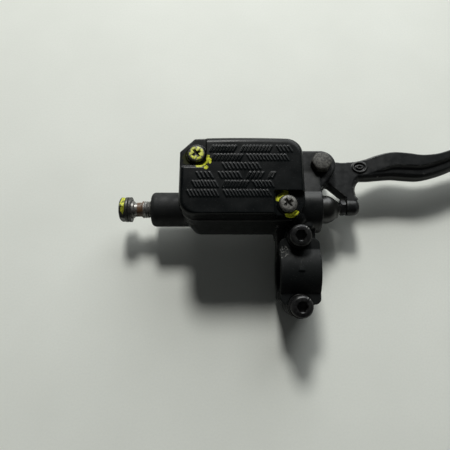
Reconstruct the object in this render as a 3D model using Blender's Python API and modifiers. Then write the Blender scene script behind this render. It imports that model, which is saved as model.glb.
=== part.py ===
"""Front brake master cylinder for a 22 mm handlebar, with its lever and handlebar clamp.

Frame: the origin is the centre of the clamp, on the handlebar's axis. +X runs along the
handlebar towards the lever's tip, +Y forward, +Z up through the reservoir's cap. Metres.
"""
import math

import bmesh
import bpy
from mathutils import Matrix, Vector

GAP = 0.0003
ROUND = 32

# Handlebar clamp: its split plane leans back by CLAMP_TILT about the bar's axis.
BAR_RADIUS = 0.0111
CLAMP_RADIUS = 0.016
CLAMP_LEFT = -0.010
CLAMP_RIGHT = 0.0108
CLAMP_TILT = math.radians(12)
CLAMP_SPLIT = 0.0005
LUG_REACH = 0.0229
LUG_HEIGHT = 0.0115
LUG_DEPTH = 0.012
LUG_SHOULDER = 0.0170
LUG_CORNER = 0.0033
LUG_END_RADIUS = 0.0066
CLAMP_BOLT_OFFSET = 0.01775
CLAMP_BOLT_RADIUS = 0.003
CLAMP_HEAD_RADIUS = 0.0052
CLAMP_HEAD_HEIGHT = 0.0060
CLAMP_COLLAR_RADIUS = 0.0063
CLAMP_COLLAR_HEIGHT = 0.0012
CLAMP_BOLT_LENGTH = 0.021
CLAMP_KEY = 0.005

# Cylinder: its bore lies parallel to the bar, at CYL_Y in front of it.
CYL_Y = 0.0355
BORE_RADIUS = 0.0065
BORE_END = -0.058
BOSS_RADIUS = 0.0132
BOSS_END = 0.0145
OUTLET_RADIUS = 0.0096
OUTLET_FACE = -0.0790
OUTLET_HOLE_RADIUS = 0.0053
BOOT_SEAT_RADIUS = 0.0086
BOOT_SEAT_START = BOSS_END - 0.0023
CIRCLIP_GROOVE_RADIUS = 0.0078
CIRCLIP_GROOVE = (BOSS_END - 0.0047, BOSS_END - 0.0029)
CLIP_THICKNESS = 0.0012
BARREL_LEFT = -0.0605
BARREL_RIGHT = 0.0060
BARREL_TOP = 0.0120
BARREL_BOTTOM = -0.0120
BARREL_FRONT = 0.0232
BARREL_BACK = 0.0478
BARREL_EDGE = 0.0045
INLET_PORT = (-0.0145, 0.0015)
RETURN_PORT = (-0.0292, 0.0008)

# Block that carries the clamp's fixed half, from its lowest corner to its highest.
ARM_LOW = (-0.0106, 0.0200, -0.0112)
ARM_HIGH = (0.0092, 0.0360, 0.0085)

# Reservoir tub and its cap.
TUB_TOP = 0.0180
TUB_LEFT = -0.0613
TUB_RIGHT = 0.0019
TUB_BACK = 0.0666
TUB_BOTTOM = -0.0040
TUB_WALL = 0.0030
TUB_FLOOR = 0.0098
TUB_TAPER = 0.0045
TUB_CORNER = 0.0085
REBATE_DEPTH = 0.0015
REBATE_WIDTH = 0.0012
REBATE_CORNER = TUB_CORNER - TUB_WALL + REBATE_WIDTH
CAP_TOP = 0.0270
CAP_OVERHANG = 0.0006
CAP_EDGE = 0.0032
CAP_SHELL = 0.0025
CAP_POCKET_FLOOR = 0.0236
CAP_SCREW_LEFT = Vector((-0.0532, 0.0572, CAP_POCKET_FLOOR))
CAP_SCREW_RIGHT = Vector((-0.0062, 0.0292, CAP_POCKET_FLOOR))
CAP_POCKET_REACH = (0.0060, 0.0070)
CAP_SCREW_RADIUS = 0.0020
CAP_SCREW_HEAD = 0.0046
CAP_SCREW_HEAD_HEIGHT = 0.0024
CAP_SCREW_DEPTH = 0.0100
PILLAR_RADIUS = 0.0042
TRAY_INSET = 0.0120
TRAY_WALL = 0.0012
TRAY_DEPTH = 0.0030
PLATE_THICKNESS = 0.0012
PLATE_VENT = (-0.0300, 0.0450, 0.0030)
GUARD_LEFT = -0.0350
GUARD_RIGHT = -0.0115
GUARD_HALF = 0.0060
GUARD_HEIGHT = 0.0022
GUARD_WALL = 0.0008

# Lever pivot: an M6 bolt through two ears, with the lever between them.
PIVOT_X = 0.0150
PIVOT_Y = 0.0585
EAR_RADIUS = 0.0083
EAR_TOP = 0.0110
EAR_BOTTOM = -0.0106
EAR_LEFT = -0.0040
EAR_BACK = 0.0668
SLOT_HALF = 0.0046
SLOT_BACK = 0.0062
PIVOT_BOLT_RADIUS = 0.0030
PIVOT_HEAD_FLATS = 0.0100
PIVOT_HEAD_HEIGHT = 0.0040
PIVOT_NUT_HEIGHT = 0.0050
BUSH_INNER = 0.0033
BUSH_OUTER = 0.0042
HUB_RADIUS = 0.0080
HUB_HALF = 0.0042

# Lever: a flat plate between and beside the ears, a blade that grows out of it, a ball at its tip.
NOSE_RADIUS = 0.0047
NOSE_LEFT = 0.0296
NOSE_RIGHT = 0.0373
NOSE_DOME = 0.0032
ADJUSTER_Y = 0.0368
ADJUSTER_RADIUS = 0.0025
ADJUSTER_TIP = 0.0257
ADJUSTER_END = NOSE_RIGHT - 0.0006
LOCK_NUT_FLATS = 0.0080
LOCK_NUT_HEIGHT = 0.0032
BALL_RADIUS = 0.0092
BALL_X = 0.1670
BALL_Y = 0.0655
LEVER_STATIONS = (
    # x, y of the blade's middle, width along Y, height along Z
    (0.0290, 0.0574, 0.0094, 0.0082),
    (0.0370, 0.0582, 0.0104, 0.0090),
    (0.0440, 0.0592, 0.0116, 0.0108),
    (0.0510, 0.0607, 0.0130, 0.0128),
    (0.0580, 0.0615, 0.0139, 0.0140),
    (0.0660, 0.0609, 0.0140, 0.0142),
    (0.0725, 0.0603, 0.0132, 0.0142),
    (0.0790, 0.0610, 0.0118, 0.0142),
    (0.0860, 0.0627, 0.0107, 0.0140),
    (0.0950, 0.0660, 0.0100, 0.0138),
    (0.1080, 0.0700, 0.0096, 0.0132),
    (0.1220, 0.0727, 0.0092, 0.0124),
    (0.1360, 0.0731, 0.0088, 0.0114),
    (0.1480, 0.0714, 0.0084, 0.0106),
    (0.1570, 0.0690, 0.0082, 0.0102),
    (0.1650, 0.0662, 0.0080, 0.0098),
)

# Banjo bolt at the outlet, screwed in only part of the way.
BANJO_RADIUS = 0.0048
BANJO_WAIST = 0.0040
BANJO_HOLE = 0.0018
BANJO_TIP = -0.0700
BANJO_THREAD_START = -0.0841
BANJO_SHOULDER = -0.0938
BANJO_HEAD_FLATS = 0.0120
BANJO_HEAD_END = -0.0976
WASHER_RADIUS = 0.0070
WASHER_THICKNESS = 0.0015

# Inside the bore.
PISTON_RADIUS = 0.0062
PISTON_FRONT = -0.0260
PISTON_END = 0.0254
SPRING_WIRE = 0.0006
SPRING_RADIUS = 0.0048
SPRING_TURNS = 7
BOOT_RADIUS = 0.0080
BOOT_DOME = 0.0172
BOOT_END = 0.0248


def clear_scene():
    for scene_object in list(bpy.data.objects):
        bpy.data.objects.remove(scene_object, do_unlink=True)


def new_collection(name):
    collection = bpy.data.collections.new(name)
    bpy.context.scene.collection.children.link(collection)
    return collection


clear_scene()
PARTS = new_collection("brake_master_cylinder")
CUTTERS = new_collection("cutters")


# ---- materials -------------------------------------------------------------------------

def material(name, colour, roughness, metallic):
    made = bpy.data.materials.new(name)
    made.use_nodes = True
    shader = made.node_tree.nodes["Principled BSDF"]
    shader.inputs["Base Color"].default_value = (*colour, 1.0)
    shader.inputs["Roughness"].default_value = roughness
    shader.inputs["Metallic"].default_value = metallic
    return made


BLACK_CASTING = material("black_casting", (0.035, 0.036, 0.038), 0.45, 0.3)
BLACK_PLASTIC = material("black_plastic", (0.030, 0.031, 0.033), 0.55, 0.0)
BLACK_LEVER = material("black_lever", (0.020, 0.020, 0.022), 0.35, 0.3)
RUBBER = material("rubber", (0.045, 0.047, 0.042), 0.70, 0.0)
WHITE_PLASTIC = material("white_plastic", (0.75, 0.75, 0.72), 0.50, 0.0)
WORN_STEEL = material("worn_steel", (0.33, 0.32, 0.30), 0.45, 1.0)
BLACK_STEEL = material("black_steel", (0.06, 0.06, 0.06), 0.40, 1.0)
SPRING_STEEL = material("spring_steel", (0.55, 0.55, 0.54), 0.30, 1.0)
ALUMINIUM = material("aluminium", (0.62, 0.62, 0.61), 0.35, 1.0)
BRONZE = material("bronze", (0.55, 0.38, 0.18), 0.35, 1.0)


# ---- shapes ----------------------------------------------------------------------------

def adopt(mesh, name, collection):
    made = bpy.data.objects.new(name, mesh)
    collection.objects.link(made)
    if collection is CUTTERS:
        made.hide_render = True
        made.display_type = "WIRE"
    return made


def from_bmesh(bm, name, collection=CUTTERS):
    mesh = bpy.data.meshes.new(name)
    bm.to_mesh(mesh)
    bm.free()
    return adopt(mesh, name, collection)


def bevelled(made, width, segments=2, angle=30):
    modifier = made.modifiers.new("edges", "BEVEL")
    modifier.width = width
    modifier.segments = segments
    modifier.limit_method = "ANGLE"
    modifier.angle_limit = math.radians(angle)
    return made


def rounded_edges(made, width, segments, chosen):
    """Rounds only the edges for which chosen(first end, second end) is true."""
    weight = made.data.attributes.new("bevel_weight_edge", "FLOAT", "EDGE")
    for edge in made.data.edges:
        first, second = (made.data.vertices[index].co for index in edge.vertices)
        weight.data[edge.index].value = 1.0 if chosen(first, second) else 0.0
    modifier = made.modifiers.new("corners", "BEVEL")
    modifier.width = width
    modifier.segments = segments
    modifier.limit_method = "WEIGHT"
    return made


def block(name, low, high, bevel=0.0, segments=2, collection=CUTTERS):
    """A box between two corners."""
    low, high = Vector(low), Vector(high)
    bm = bmesh.new()
    bmesh.ops.create_cube(bm, size=1.0)
    size = high - low
    bmesh.ops.scale(bm, vec=size, verts=bm.verts)
    bmesh.ops.translate(bm, vec=(low + high) / 2, verts=bm.verts)
    made = from_bmesh(bm, name, collection)
    if bevel:
        bevelled(made, bevel, segments)
    return made


def tapered(name, low, high, shrink, corner, segments=3, collection=CUTTERS):
    """A box whose bottom draws in by shrink (left, right, back), with round upright corners."""
    made = block(name, low, high, collection=collection)
    left, right, back = shrink
    middle_z = (low[2] + high[2]) / 2
    middle_x = (low[0] + high[0]) / 2
    middle_y = (low[1] + high[1]) / 2
    for vertex in made.data.vertices:
        if vertex.co.z > middle_z:
            continue
        vertex.co.x += left if vertex.co.x < middle_x else -right
        vertex.co.y -= back if vertex.co.y > middle_y else 0.0
    if corner:
        rounded_edges(made, corner, segments, lambda first, second: abs(first.z - second.z) > 0.001)
    return made


def rod(name, start, end, radius, segments=ROUND, collection=CUTTERS):
    """A straight cylinder, or a prism, between two points."""
    start, end = Vector(start), Vector(end)
    along = end - start
    bm = bmesh.new()
    bmesh.ops.create_cone(bm, cap_ends=True, segments=segments, radius1=radius,
                          radius2=radius, depth=along.length)
    made = from_bmesh(bm, name, collection)
    made.location = (start + end) / 2
    made.rotation_euler = along.to_track_quat("Z", "Y").to_euler()
    return made


def outline(name, points, half_thickness, place, collection=CUTTERS):
    """A flat outline in its own XY plane, made solid along Z, then put in place."""
    curve = bpy.data.curves.new(name, "CURVE")
    curve.dimensions = "2D"
    curve.fill_mode = "BOTH"
    curve.extrude = half_thickness
    spline = curve.splines.new("POLY")
    spline.points.add(len(points) - 1)
    for target, (x, y) in zip(spline.points, points):
        target.co = (x, y, 0.0, 1.0)
    spline.use_cyclic_u = True
    drawn = bpy.data.objects.new(name + "_curve", curve)
    CUTTERS.objects.link(drawn)
    mesh = bpy.data.meshes.new_from_object(drawn.evaluated_get(bpy.context.evaluated_depsgraph_get()))
    mesh.transform(place)
    bm = bmesh.new()
    bm.from_mesh(mesh)
    bmesh.ops.remove_doubles(bm, verts=bm.verts, dist=0.00001)
    bmesh.ops.dissolve_limit(bm, angle_limit=math.radians(1), verts=bm.verts, edges=bm.edges)
    bmesh.ops.recalc_face_normals(bm, faces=bm.faces)
    bm.to_mesh(mesh)
    bm.free()
    mesh.name = name
    bpy.data.objects.remove(drawn)
    bpy.data.curves.remove(curve)
    return adopt(mesh, name, collection)


def turned(name, profile, origin, axis="X", steps=ROUND, collection=PARTS):
    """A solid of revolution: profile holds (radius, place along the axis), top to bottom."""
    bm = bmesh.new()
    ring = [bm.verts.new((radius, 0.0, along)) for radius, along in profile]
    for first, second in zip(ring, ring[1:]):
        bm.edges.new((first, second))
    if profile[0][0] > 0.0 and profile[-1][0] > 0.0:
        bm.edges.new((ring[-1], ring[0]))
    made = from_bmesh(bm, name, collection)
    screw = made.modifiers.new("turn", "SCREW")
    screw.axis = "Z"
    screw.steps = steps
    screw.render_steps = steps
    screw.use_merge_vertices = True
    screw.merge_threshold = 0.00001
    screw.use_smooth_shade = False
    made.location = origin
    if axis == "X":
        made.rotation_euler = (0.0, math.radians(90), 0.0)
    return made


def boolean(target, tool, operation, solver="EXACT"):
    modifier = target.modifiers.new(operation.lower() + "_" + tool.name, "BOOLEAN")
    modifier.operation = operation
    modifier.solver = solver
    modifier.object = tool


def join_all(target, tools):
    for tool in tools:
        boolean(target, tool, "UNION")


def cut_all(target, tools):
    for tool in tools:
        boolean(target, tool, "DIFFERENCE")


def arc(centre_x, centre_y, radius, start, end, steps):
    """Points on an arc, angles in degrees."""
    points = []
    for step in range(steps + 1):
        angle = math.radians(start + (end - start) * step / steps)
        points.append((centre_x + radius * math.cos(angle), centre_y + radius * math.sin(angle)))
    return points


def finish(made, surface, angle=35):
    made.data.materials.clear()
    made.data.materials.append(surface)
    made.data.shade_smooth()
    made.data.set_sharp_from_angle(angle=math.radians(angle))
    return made


def moved_to(made, origin):
    """Puts an object's origin on a point without moving its shape."""
    origin = Vector(origin)
    made.data.transform(Matrix.Translation(made.location - origin))
    made.location = origin


CLAMP_MIDDLE = (CLAMP_LEFT + CLAMP_RIGHT) / 2
CLAMP_LEAN = Matrix.Rotation(CLAMP_TILT, 4, "X")
# Columns: along the split plane, across it, along the bar.
SPLIT_PLACE = CLAMP_LEAN @ Matrix(((0, 0, 1, CLAMP_MIDDLE), (1, 0, 0, 0), (0, 1, 0, 0), (0, 0, 0, 1)))
BORE_AXIS = Vector((0.0, CYL_Y, 0.0))
PIVOT = Vector((PIVOT_X, PIVOT_Y, 0.0))


def split_point(along, across, x=0.0):
    """A point given along the clamp's split plane and across it."""
    return CLAMP_LEAN @ Vector((x, along, across))


# ---- clamp -----------------------------------------------------------------------------

def clamp_profile(side, lug):
    """Half of the clamp seen along the bar; side is 1 for the cover, -1 for the fixed half."""
    level = CLAMP_SPLIT
    bore_angle = math.degrees(math.asin(level / BAR_RADIUS))
    ring_angle = math.degrees(math.asin(lug / CLAMP_RADIUS))
    outer = [(LUG_REACH, level), (LUG_REACH, lug - 0.002), (LUG_REACH - 0.002, lug)]
    outer += arc(0.0, 0.0, CLAMP_RADIUS, ring_angle, 180 - ring_angle, 12)
    outer += [(-LUG_REACH + 0.002, lug), (-LUG_REACH, lug - 0.002), (-LUG_REACH, level)]
    inner = arc(0.0, 0.0, BAR_RADIUS, 180 - bore_angle, bore_angle, 20)
    return [(x, side * y) for x, y in outer + inner]


def lug_end(sign, left, right):
    """One end of the clamp seen along its bolts: two round shoulders and a round lug between
    them. The points run against the clock for sign -1 and are turned about for sign 1."""
    level = LUG_CORNER - LUG_SHOULDER
    crossing = math.degrees(math.asin((CLAMP_BOLT_OFFSET - LUG_SHOULDER) / LUG_END_RADIUS))
    points = arc(left + LUG_CORNER, level, LUG_CORNER, 180, 270, 5)
    points += arc(0.0, -CLAMP_BOLT_OFFSET, LUG_END_RADIUS, 180 - crossing, 360 + crossing, 14)
    points += arc(right - LUG_CORNER, level, LUG_CORNER, 270, 360, 5)
    return points if sign < 0 else [(x, -y) for x, y in reversed(points)]


def lug_plan(name, both_ends):
    """The clamp seen along its bolts. The fixed half keeps its full width at the end that
    grows out of the casting."""
    margin = 0.0001
    left, right, far = CLAMP_LEFT - margin, CLAMP_RIGHT + margin, CLAMP_BOLT_OFFSET * 2
    points = lug_end(-1, left, right)
    points += lug_end(1, left, right) if both_ends else [(right, far), (left, far)]
    return outline(name, points, CLAMP_RADIUS + 0.002, CLAMP_LEAN)


def clamp_bolt_axes():
    for name, sign in (("upper", 1.0), ("lower", -1.0)):
        yield name, sign * CLAMP_BOLT_OFFSET


def clamp_parts():
    half_width = (CLAMP_RIGHT - CLAMP_LEFT) / 2
    cover = outline("clamp_cover", clamp_profile(1, LUG_HEIGHT), half_width, SPLIT_PLACE, PARTS)
    boolean(cover, lug_plan("cover_plan", True), "INTERSECT")
    for name, along in clamp_bolt_axes():
        hole = rod("clamp_cover_hole_" + name, split_point(along, -0.005), split_point(along, 0.03),
                   CLAMP_BOLT_RADIUS + GAP, 16)
        seat = rod("clamp_cover_seat_" + name, split_point(along, LUG_HEIGHT - 0.0005),
                   split_point(along, 0.03), CLAMP_COLLAR_RADIUS + GAP, 24)
        cut_all(cover, (hole, seat))
        clamp_bolt(name, along)
    finish(cover, BLACK_CASTING)


def clamp_bolt(name, along):
    """A socket screw with a collar, standing on the cover's lug."""
    seat = LUG_HEIGHT - 0.0005 + GAP
    top = seat + CLAMP_COLLAR_HEIGHT + CLAMP_HEAD_HEIGHT
    profile = [
        (0.0, top), (CLAMP_HEAD_RADIUS - 0.0005, top), (CLAMP_HEAD_RADIUS, top - 0.0005),
        (CLAMP_HEAD_RADIUS, seat + CLAMP_COLLAR_HEIGHT),
        (CLAMP_COLLAR_RADIUS, seat + CLAMP_COLLAR_HEIGHT), (CLAMP_COLLAR_RADIUS, seat),
        (CLAMP_BOLT_RADIUS, seat), (CLAMP_BOLT_RADIUS, seat - CLAMP_BOLT_LENGTH),
        (0.0, seat - CLAMP_BOLT_LENGTH),
    ]
    bolt = turned("clamp_bolt_" + name, profile, split_point(along, 0.0), "Z", 24)
    bolt.rotation_euler = (CLAMP_TILT, 0.0, 0.0)
    key = rod("clamp_key_" + name, split_point(along, top - 0.003), split_point(along, top + 0.002),
              CLAMP_KEY / math.sqrt(3), 6)
    cut_all(bolt, (key,))
    finish(bolt, BLACK_STEEL)


# ---- the casting -----------------------------------------------------------------------

def ear_outline():
    """The ears seen from above: round about the pivot, then a slanted edge to the boss."""
    points = [(EAR_LEFT, CYL_Y), (EAR_LEFT, EAR_BACK)]
    points += arc(PIVOT_X, PIVOT_Y, EAR_RADIUS, 90, -38, 10)
    points += [(0.0146, 0.0442), (0.0152, CYL_Y)]
    return points


def casting():
    body = tapered("master_cylinder_body",
                   (TUB_LEFT, BARREL_FRONT, TUB_BOTTOM), (TUB_RIGHT, TUB_BACK, TUB_TOP),
                   (TUB_TAPER * 0.7, 0.002, TUB_TAPER * 0.6), TUB_CORNER, 4, PARTS)
    barrel = tapered("barrel", (BARREL_LEFT, BARREL_FRONT + 0.0001, BARREL_BOTTOM),
                     (BARREL_RIGHT, BARREL_BACK, BARREL_TOP), (TUB_TAPER, 0.0, 0.0), 0.0)
    bevelled(barrel, BARREL_EDGE, 3)
    boss = rod("boss", (-0.006, CYL_Y, 0.0), (BOSS_END, CYL_Y, 0.0), BOSS_RADIUS)
    outlet = rod("outlet_boss", (OUTLET_FACE, CYL_Y, 0.0), (-0.050, CYL_Y, 0.0), OUTLET_RADIUS)
    bevelled(outlet, 0.0022, 3, 60)
    ears = outline("ears", ear_outline(), (EAR_TOP - EAR_BOTTOM) / 2,
                   Matrix.Translation((0.0, 0.0, (EAR_TOP + EAR_BOTTOM) / 2)))
    arm = block("arm", ARM_LOW, ARM_HIGH, 0.0008, 1)
    half_width = (CLAMP_RIGHT - CLAMP_LEFT) / 2
    fixed_half = outline("fixed_half", clamp_profile(-1, LUG_DEPTH), half_width, SPLIT_PLACE)
    boolean(fixed_half, lug_plan("fixed_half_plan", False), "INTERSECT")
    join_all(body, (barrel, boss, outlet, ears, arm))
    boolean(body, fixed_half, "UNION", "MANIFOLD")
    cut_all(body, reservoir_cutters())
    join_all(body, screw_pillars())
    cut_all(body, bore_cutters())
    cut_all(body, clamp_cutters())
    cut_all(body, lever_and_cap_cutters())
    finish(body, BLACK_CASTING)


def reservoir_cutters():
    """The tub's inside, its deep part behind the cylinder and the diaphragm's ledge."""
    inner_left, inner_right = TUB_LEFT + TUB_WALL, TUB_RIGHT - TUB_WALL
    inner_front, inner_back = BARREL_FRONT + TUB_WALL, TUB_BACK - TUB_WALL
    above = TUB_TOP + 0.005
    yield tapered("reservoir", (inner_left, inner_front, TUB_FLOOR), (inner_right, inner_back, above),
                  (0.0012, 0.0006, 0.0006), TUB_CORNER - TUB_WALL)
    yield block("reservoir_sump", (inner_left + 0.006, BARREL_BACK + 0.001, TUB_BOTTOM + TUB_WALL),
                (inner_right - 0.009, inner_back - 0.004, TUB_FLOOR + 0.001), 0.001, 1)
    yield tapered("rebate", (inner_left - REBATE_WIDTH, inner_front - REBATE_WIDTH, TUB_TOP - REBATE_DEPTH),
                  (inner_right + REBATE_WIDTH, inner_back + REBATE_WIDTH, above), (0.0, 0.0, 0.0),
                  REBATE_CORNER)


def bore_cutters():
    """The stepped bore from the boot's seat to the outlet, and the two ports above it."""
    open_end, outlet_end = BOSS_END + 0.01, OUTLET_FACE - 0.01
    steps = [
        (0.0, open_end), (BOOT_SEAT_RADIUS, open_end), (BOOT_SEAT_RADIUS, BOOT_SEAT_START),
        (BORE_RADIUS, BOOT_SEAT_START), (BORE_RADIUS, CIRCLIP_GROOVE[1]),
        (CIRCLIP_GROOVE_RADIUS, CIRCLIP_GROOVE[1]), (CIRCLIP_GROOVE_RADIUS, CIRCLIP_GROOVE[0]),
        (BORE_RADIUS, CIRCLIP_GROOVE[0]), (BORE_RADIUS, BORE_END), (OUTLET_HOLE_RADIUS, BORE_END),
        (OUTLET_HOLE_RADIUS, outlet_end), (0.0, outlet_end),
    ]
    yield turned("bore", steps, BORE_AXIS, collection=CUTTERS)
    for name, (x, radius) in (("inlet_port", INLET_PORT), ("return_port", RETURN_PORT)):
        yield rod(name, (x, CYL_Y, BORE_RADIUS - 0.002), (x, CYL_Y, TUB_FLOOR + 0.002), radius, 12)


def clamp_cutters():
    """Room for the bar and for the clamp's cover, and the two threaded holes."""
    cover_room = block("cover_room", (CLAMP_LEFT - 0.005, -0.030, -CLAMP_SPLIT),
                       (CLAMP_RIGHT + 0.005, LUG_REACH + 0.0004, 0.030))
    cover_room.rotation_euler = (CLAMP_TILT, 0.0, 0.0)
    yield cover_room
    yield rod("bar_room", (CLAMP_LEFT - 0.01, 0.0, 0.0), (CLAMP_RIGHT + 0.01, 0.0, 0.0), BAR_RADIUS, 40)
    for name, along in clamp_bolt_axes():
        yield rod("clamp_thread_" + name, split_point(along, -0.0105), split_point(along, 0.02),
                  CLAMP_BOLT_RADIUS + GAP, 16)


def lever_and_cap_cutters():
    """The slot between the ears, the pivot's hole and the holes for the cap's screws."""
    yield block("lever_slot", (SLOT_BACK, 0.0470, -SLOT_HALF), (0.060, 0.090, SLOT_HALF))
    yield rod("pivot_hole", (PIVOT_X, PIVOT_Y, -0.02), (PIVOT_X, PIVOT_Y, 0.02),
              PIVOT_BOLT_RADIUS + GAP, 20)
    for number, place in enumerate((CAP_SCREW_LEFT, CAP_SCREW_RIGHT), 1):
        yield rod("cap_thread_%d" % number, (place.x, place.y, TUB_TOP - 0.009),
                  (place.x, place.y, TUB_TOP + 0.005), CAP_SCREW_RADIUS + GAP, 12)


def screw_pillars():
    """Pillars inside the tub that hold the cap's screws."""
    return [
        rod("pillar_%d" % number, (place.x, place.y, TUB_BOTTOM + 0.004),
            (place.x, place.y, TUB_TOP), PILLAR_RADIUS, 20)
        for number, place in enumerate((CAP_SCREW_LEFT, CAP_SCREW_RIGHT), 1)
    ]


# ---- reservoir cap and what lies under it ----------------------------------------------

def cap_box(inset=0.0):
    low = (TUB_LEFT - CAP_OVERHANG + inset, BARREL_FRONT - 0.0002 + inset)
    high = (TUB_RIGHT + CAP_OVERHANG - inset, TUB_BACK + CAP_OVERHANG - inset)
    return low, high


def reservoir_cap():
    low, high = cap_box()
    base = TUB_TOP + GAP
    cap = tapered("reservoir_cap", (*low, base), (*high, CAP_TOP), (0, 0, 0), TUB_CORNER, 4, PARTS)
    bevelled(cap, CAP_EDGE, 3, 60)
    inner_low, inner_high = cap_box(TUB_WALL + CAP_OVERHANG + 0.0005)
    hollow = tapered("cap_hollow", (*inner_low, base - 0.005), (*inner_high, CAP_TOP - CAP_SHELL - 0.0035),
                     (0, 0, 0), TUB_CORNER - TUB_WALL, 3)
    cut_all(cap, (hollow,))
    reach_x, reach_y = CAP_POCKET_REACH
    for number, place, side in ((1, CAP_SCREW_LEFT, -1), (2, CAP_SCREW_RIGHT, 1)):
        inner = Vector((place.x - side * reach_x, place.y + side * reach_y, 0.0))
        outer = Vector((place.x + side * 0.03, place.y - side * 0.03, 0.0))
        pocket = block("cap_pocket_%d" % number,
                       (min(inner.x, outer.x), min(inner.y, outer.y), CAP_POCKET_FLOOR),
                       (max(inner.x, outer.x), max(inner.y, outer.y), CAP_TOP + 0.01), 0.0004, 1)
        hole = rod("cap_hole_%d" % number, (place.x, place.y, 0.0), (place.x, place.y, 0.04),
                   CAP_SCREW_RADIUS + GAP, 12)
        cut_all(cap, (pocket, hole))
        cap_screw(number, place)
    finish(cap, BLACK_PLASTIC)


def cap_screw(number, place):
    top = CAP_SCREW_HEAD_HEIGHT + GAP
    profile = [
        (0.0, top), (CAP_SCREW_HEAD * 0.75, top - 0.0002), (CAP_SCREW_HEAD, top - 0.0010),
        (CAP_SCREW_HEAD, GAP), (CAP_SCREW_RADIUS, GAP), (CAP_SCREW_RADIUS, -CAP_SCREW_DEPTH),
        (0.0, -CAP_SCREW_DEPTH - 0.0008),
    ]
    screw = turned("cap_screw_%d" % number, profile, place, "Z", 20)
    for axis, size in (("x", (0.0026, 0.0005)), ("y", (0.0005, 0.0026))):
        slot = block("cross_%s_%d" % (axis, number), (-size[0], -size[1], top - 0.0013),
                     (size[0], size[1], top + 0.001))
        slot.location = place
        slot.rotation_euler.z = math.radians(12)
        cut_all(screw, (slot,))
    finish(screw, WORN_STEEL)


def under_cap():
    """The rubber diaphragm, the plate that backs it and the guard over the ports."""
    left, right = TUB_LEFT + TUB_WALL, TUB_RIGHT - TUB_WALL
    front, back = BARREL_FRONT + TUB_WALL, TUB_BACK - TUB_WALL
    edge = REBATE_WIDTH - GAP
    rim_low = TUB_TOP - REBATE_DEPTH + GAP
    diaphragm = tapered("diaphragm", (left - edge, front - edge, rim_low),
                        (right + edge, back + edge, TUB_TOP - 0.0001), (0, 0, 0), REBATE_CORNER, 3, PARTS)
    tray_low, tray_high = (left + TRAY_INSET, front + 0.001), (right - TRAY_INSET, back - 0.001)
    tray_floor = TUB_FLOOR + TRAY_DEPTH
    tray = tapered("diaphragm_tray", (*tray_low, tray_floor), (*tray_high, rim_low + 0.0002),
                   (0, 0, 0), 0.003)
    dish_low = [value + TRAY_WALL for value in tray_low]
    dish_high = [value - TRAY_WALL for value in tray_high]
    dish_floor = tray_floor + TRAY_WALL
    dish = tapered("diaphragm_dish", (*dish_low, dish_floor), (*dish_high, TUB_TOP + 0.01), (0, 0, 0), 0.002)
    join_all(diaphragm, (tray,))
    clearances = [
        rod("diaphragm_hole_%d" % number, (place.x, place.y, 0.0), (place.x, place.y, 0.03),
            PILLAR_RADIUS + GAP, 20)
        for number, place in enumerate((CAP_SCREW_LEFT, CAP_SCREW_RIGHT), 1)
    ]
    cut_all(diaphragm, (dish, *clearances))
    finish(diaphragm, RUBBER)

    plate_low = [value + GAP for value in dish_low]
    plate_high = [value - GAP for value in dish_high]
    plate_floor = dish_floor + GAP
    plate_top = plate_floor + PLATE_THICKNESS
    plate = tapered("diaphragm_plate", (*plate_low, plate_floor), (*plate_high, plate_top),
                    (0, 0, 0), 0.002, 2, PARTS)
    vent_x, vent_y, vent_radius = PLATE_VENT
    cut_all(plate, (rod("plate_vent", (vent_x, vent_y, 0.0), (vent_x, vent_y, 0.03), vent_radius, 16),))
    finish(plate, WHITE_PLASTIC)

    guard = block("splash_guard", (GUARD_LEFT, CYL_Y - GUARD_HALF, TUB_FLOOR + GAP),
                  (GUARD_RIGHT, CYL_Y + GUARD_HALF, TUB_FLOOR + GUARD_HEIGHT), collection=PARTS)
    tunnel_half = GUARD_HALF - 0.002
    tunnel = block("guard_tunnel", (GUARD_LEFT - 0.005, CYL_Y - tunnel_half, TUB_FLOOR - 0.001),
                   (GUARD_RIGHT + 0.005, CYL_Y + tunnel_half, TUB_FLOOR + GUARD_HEIGHT - GUARD_WALL))
    cut_all(guard, (tunnel,))
    finish(guard, WHITE_PLASTIC)


# ---- outlet ----------------------------------------------------------------------------

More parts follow.
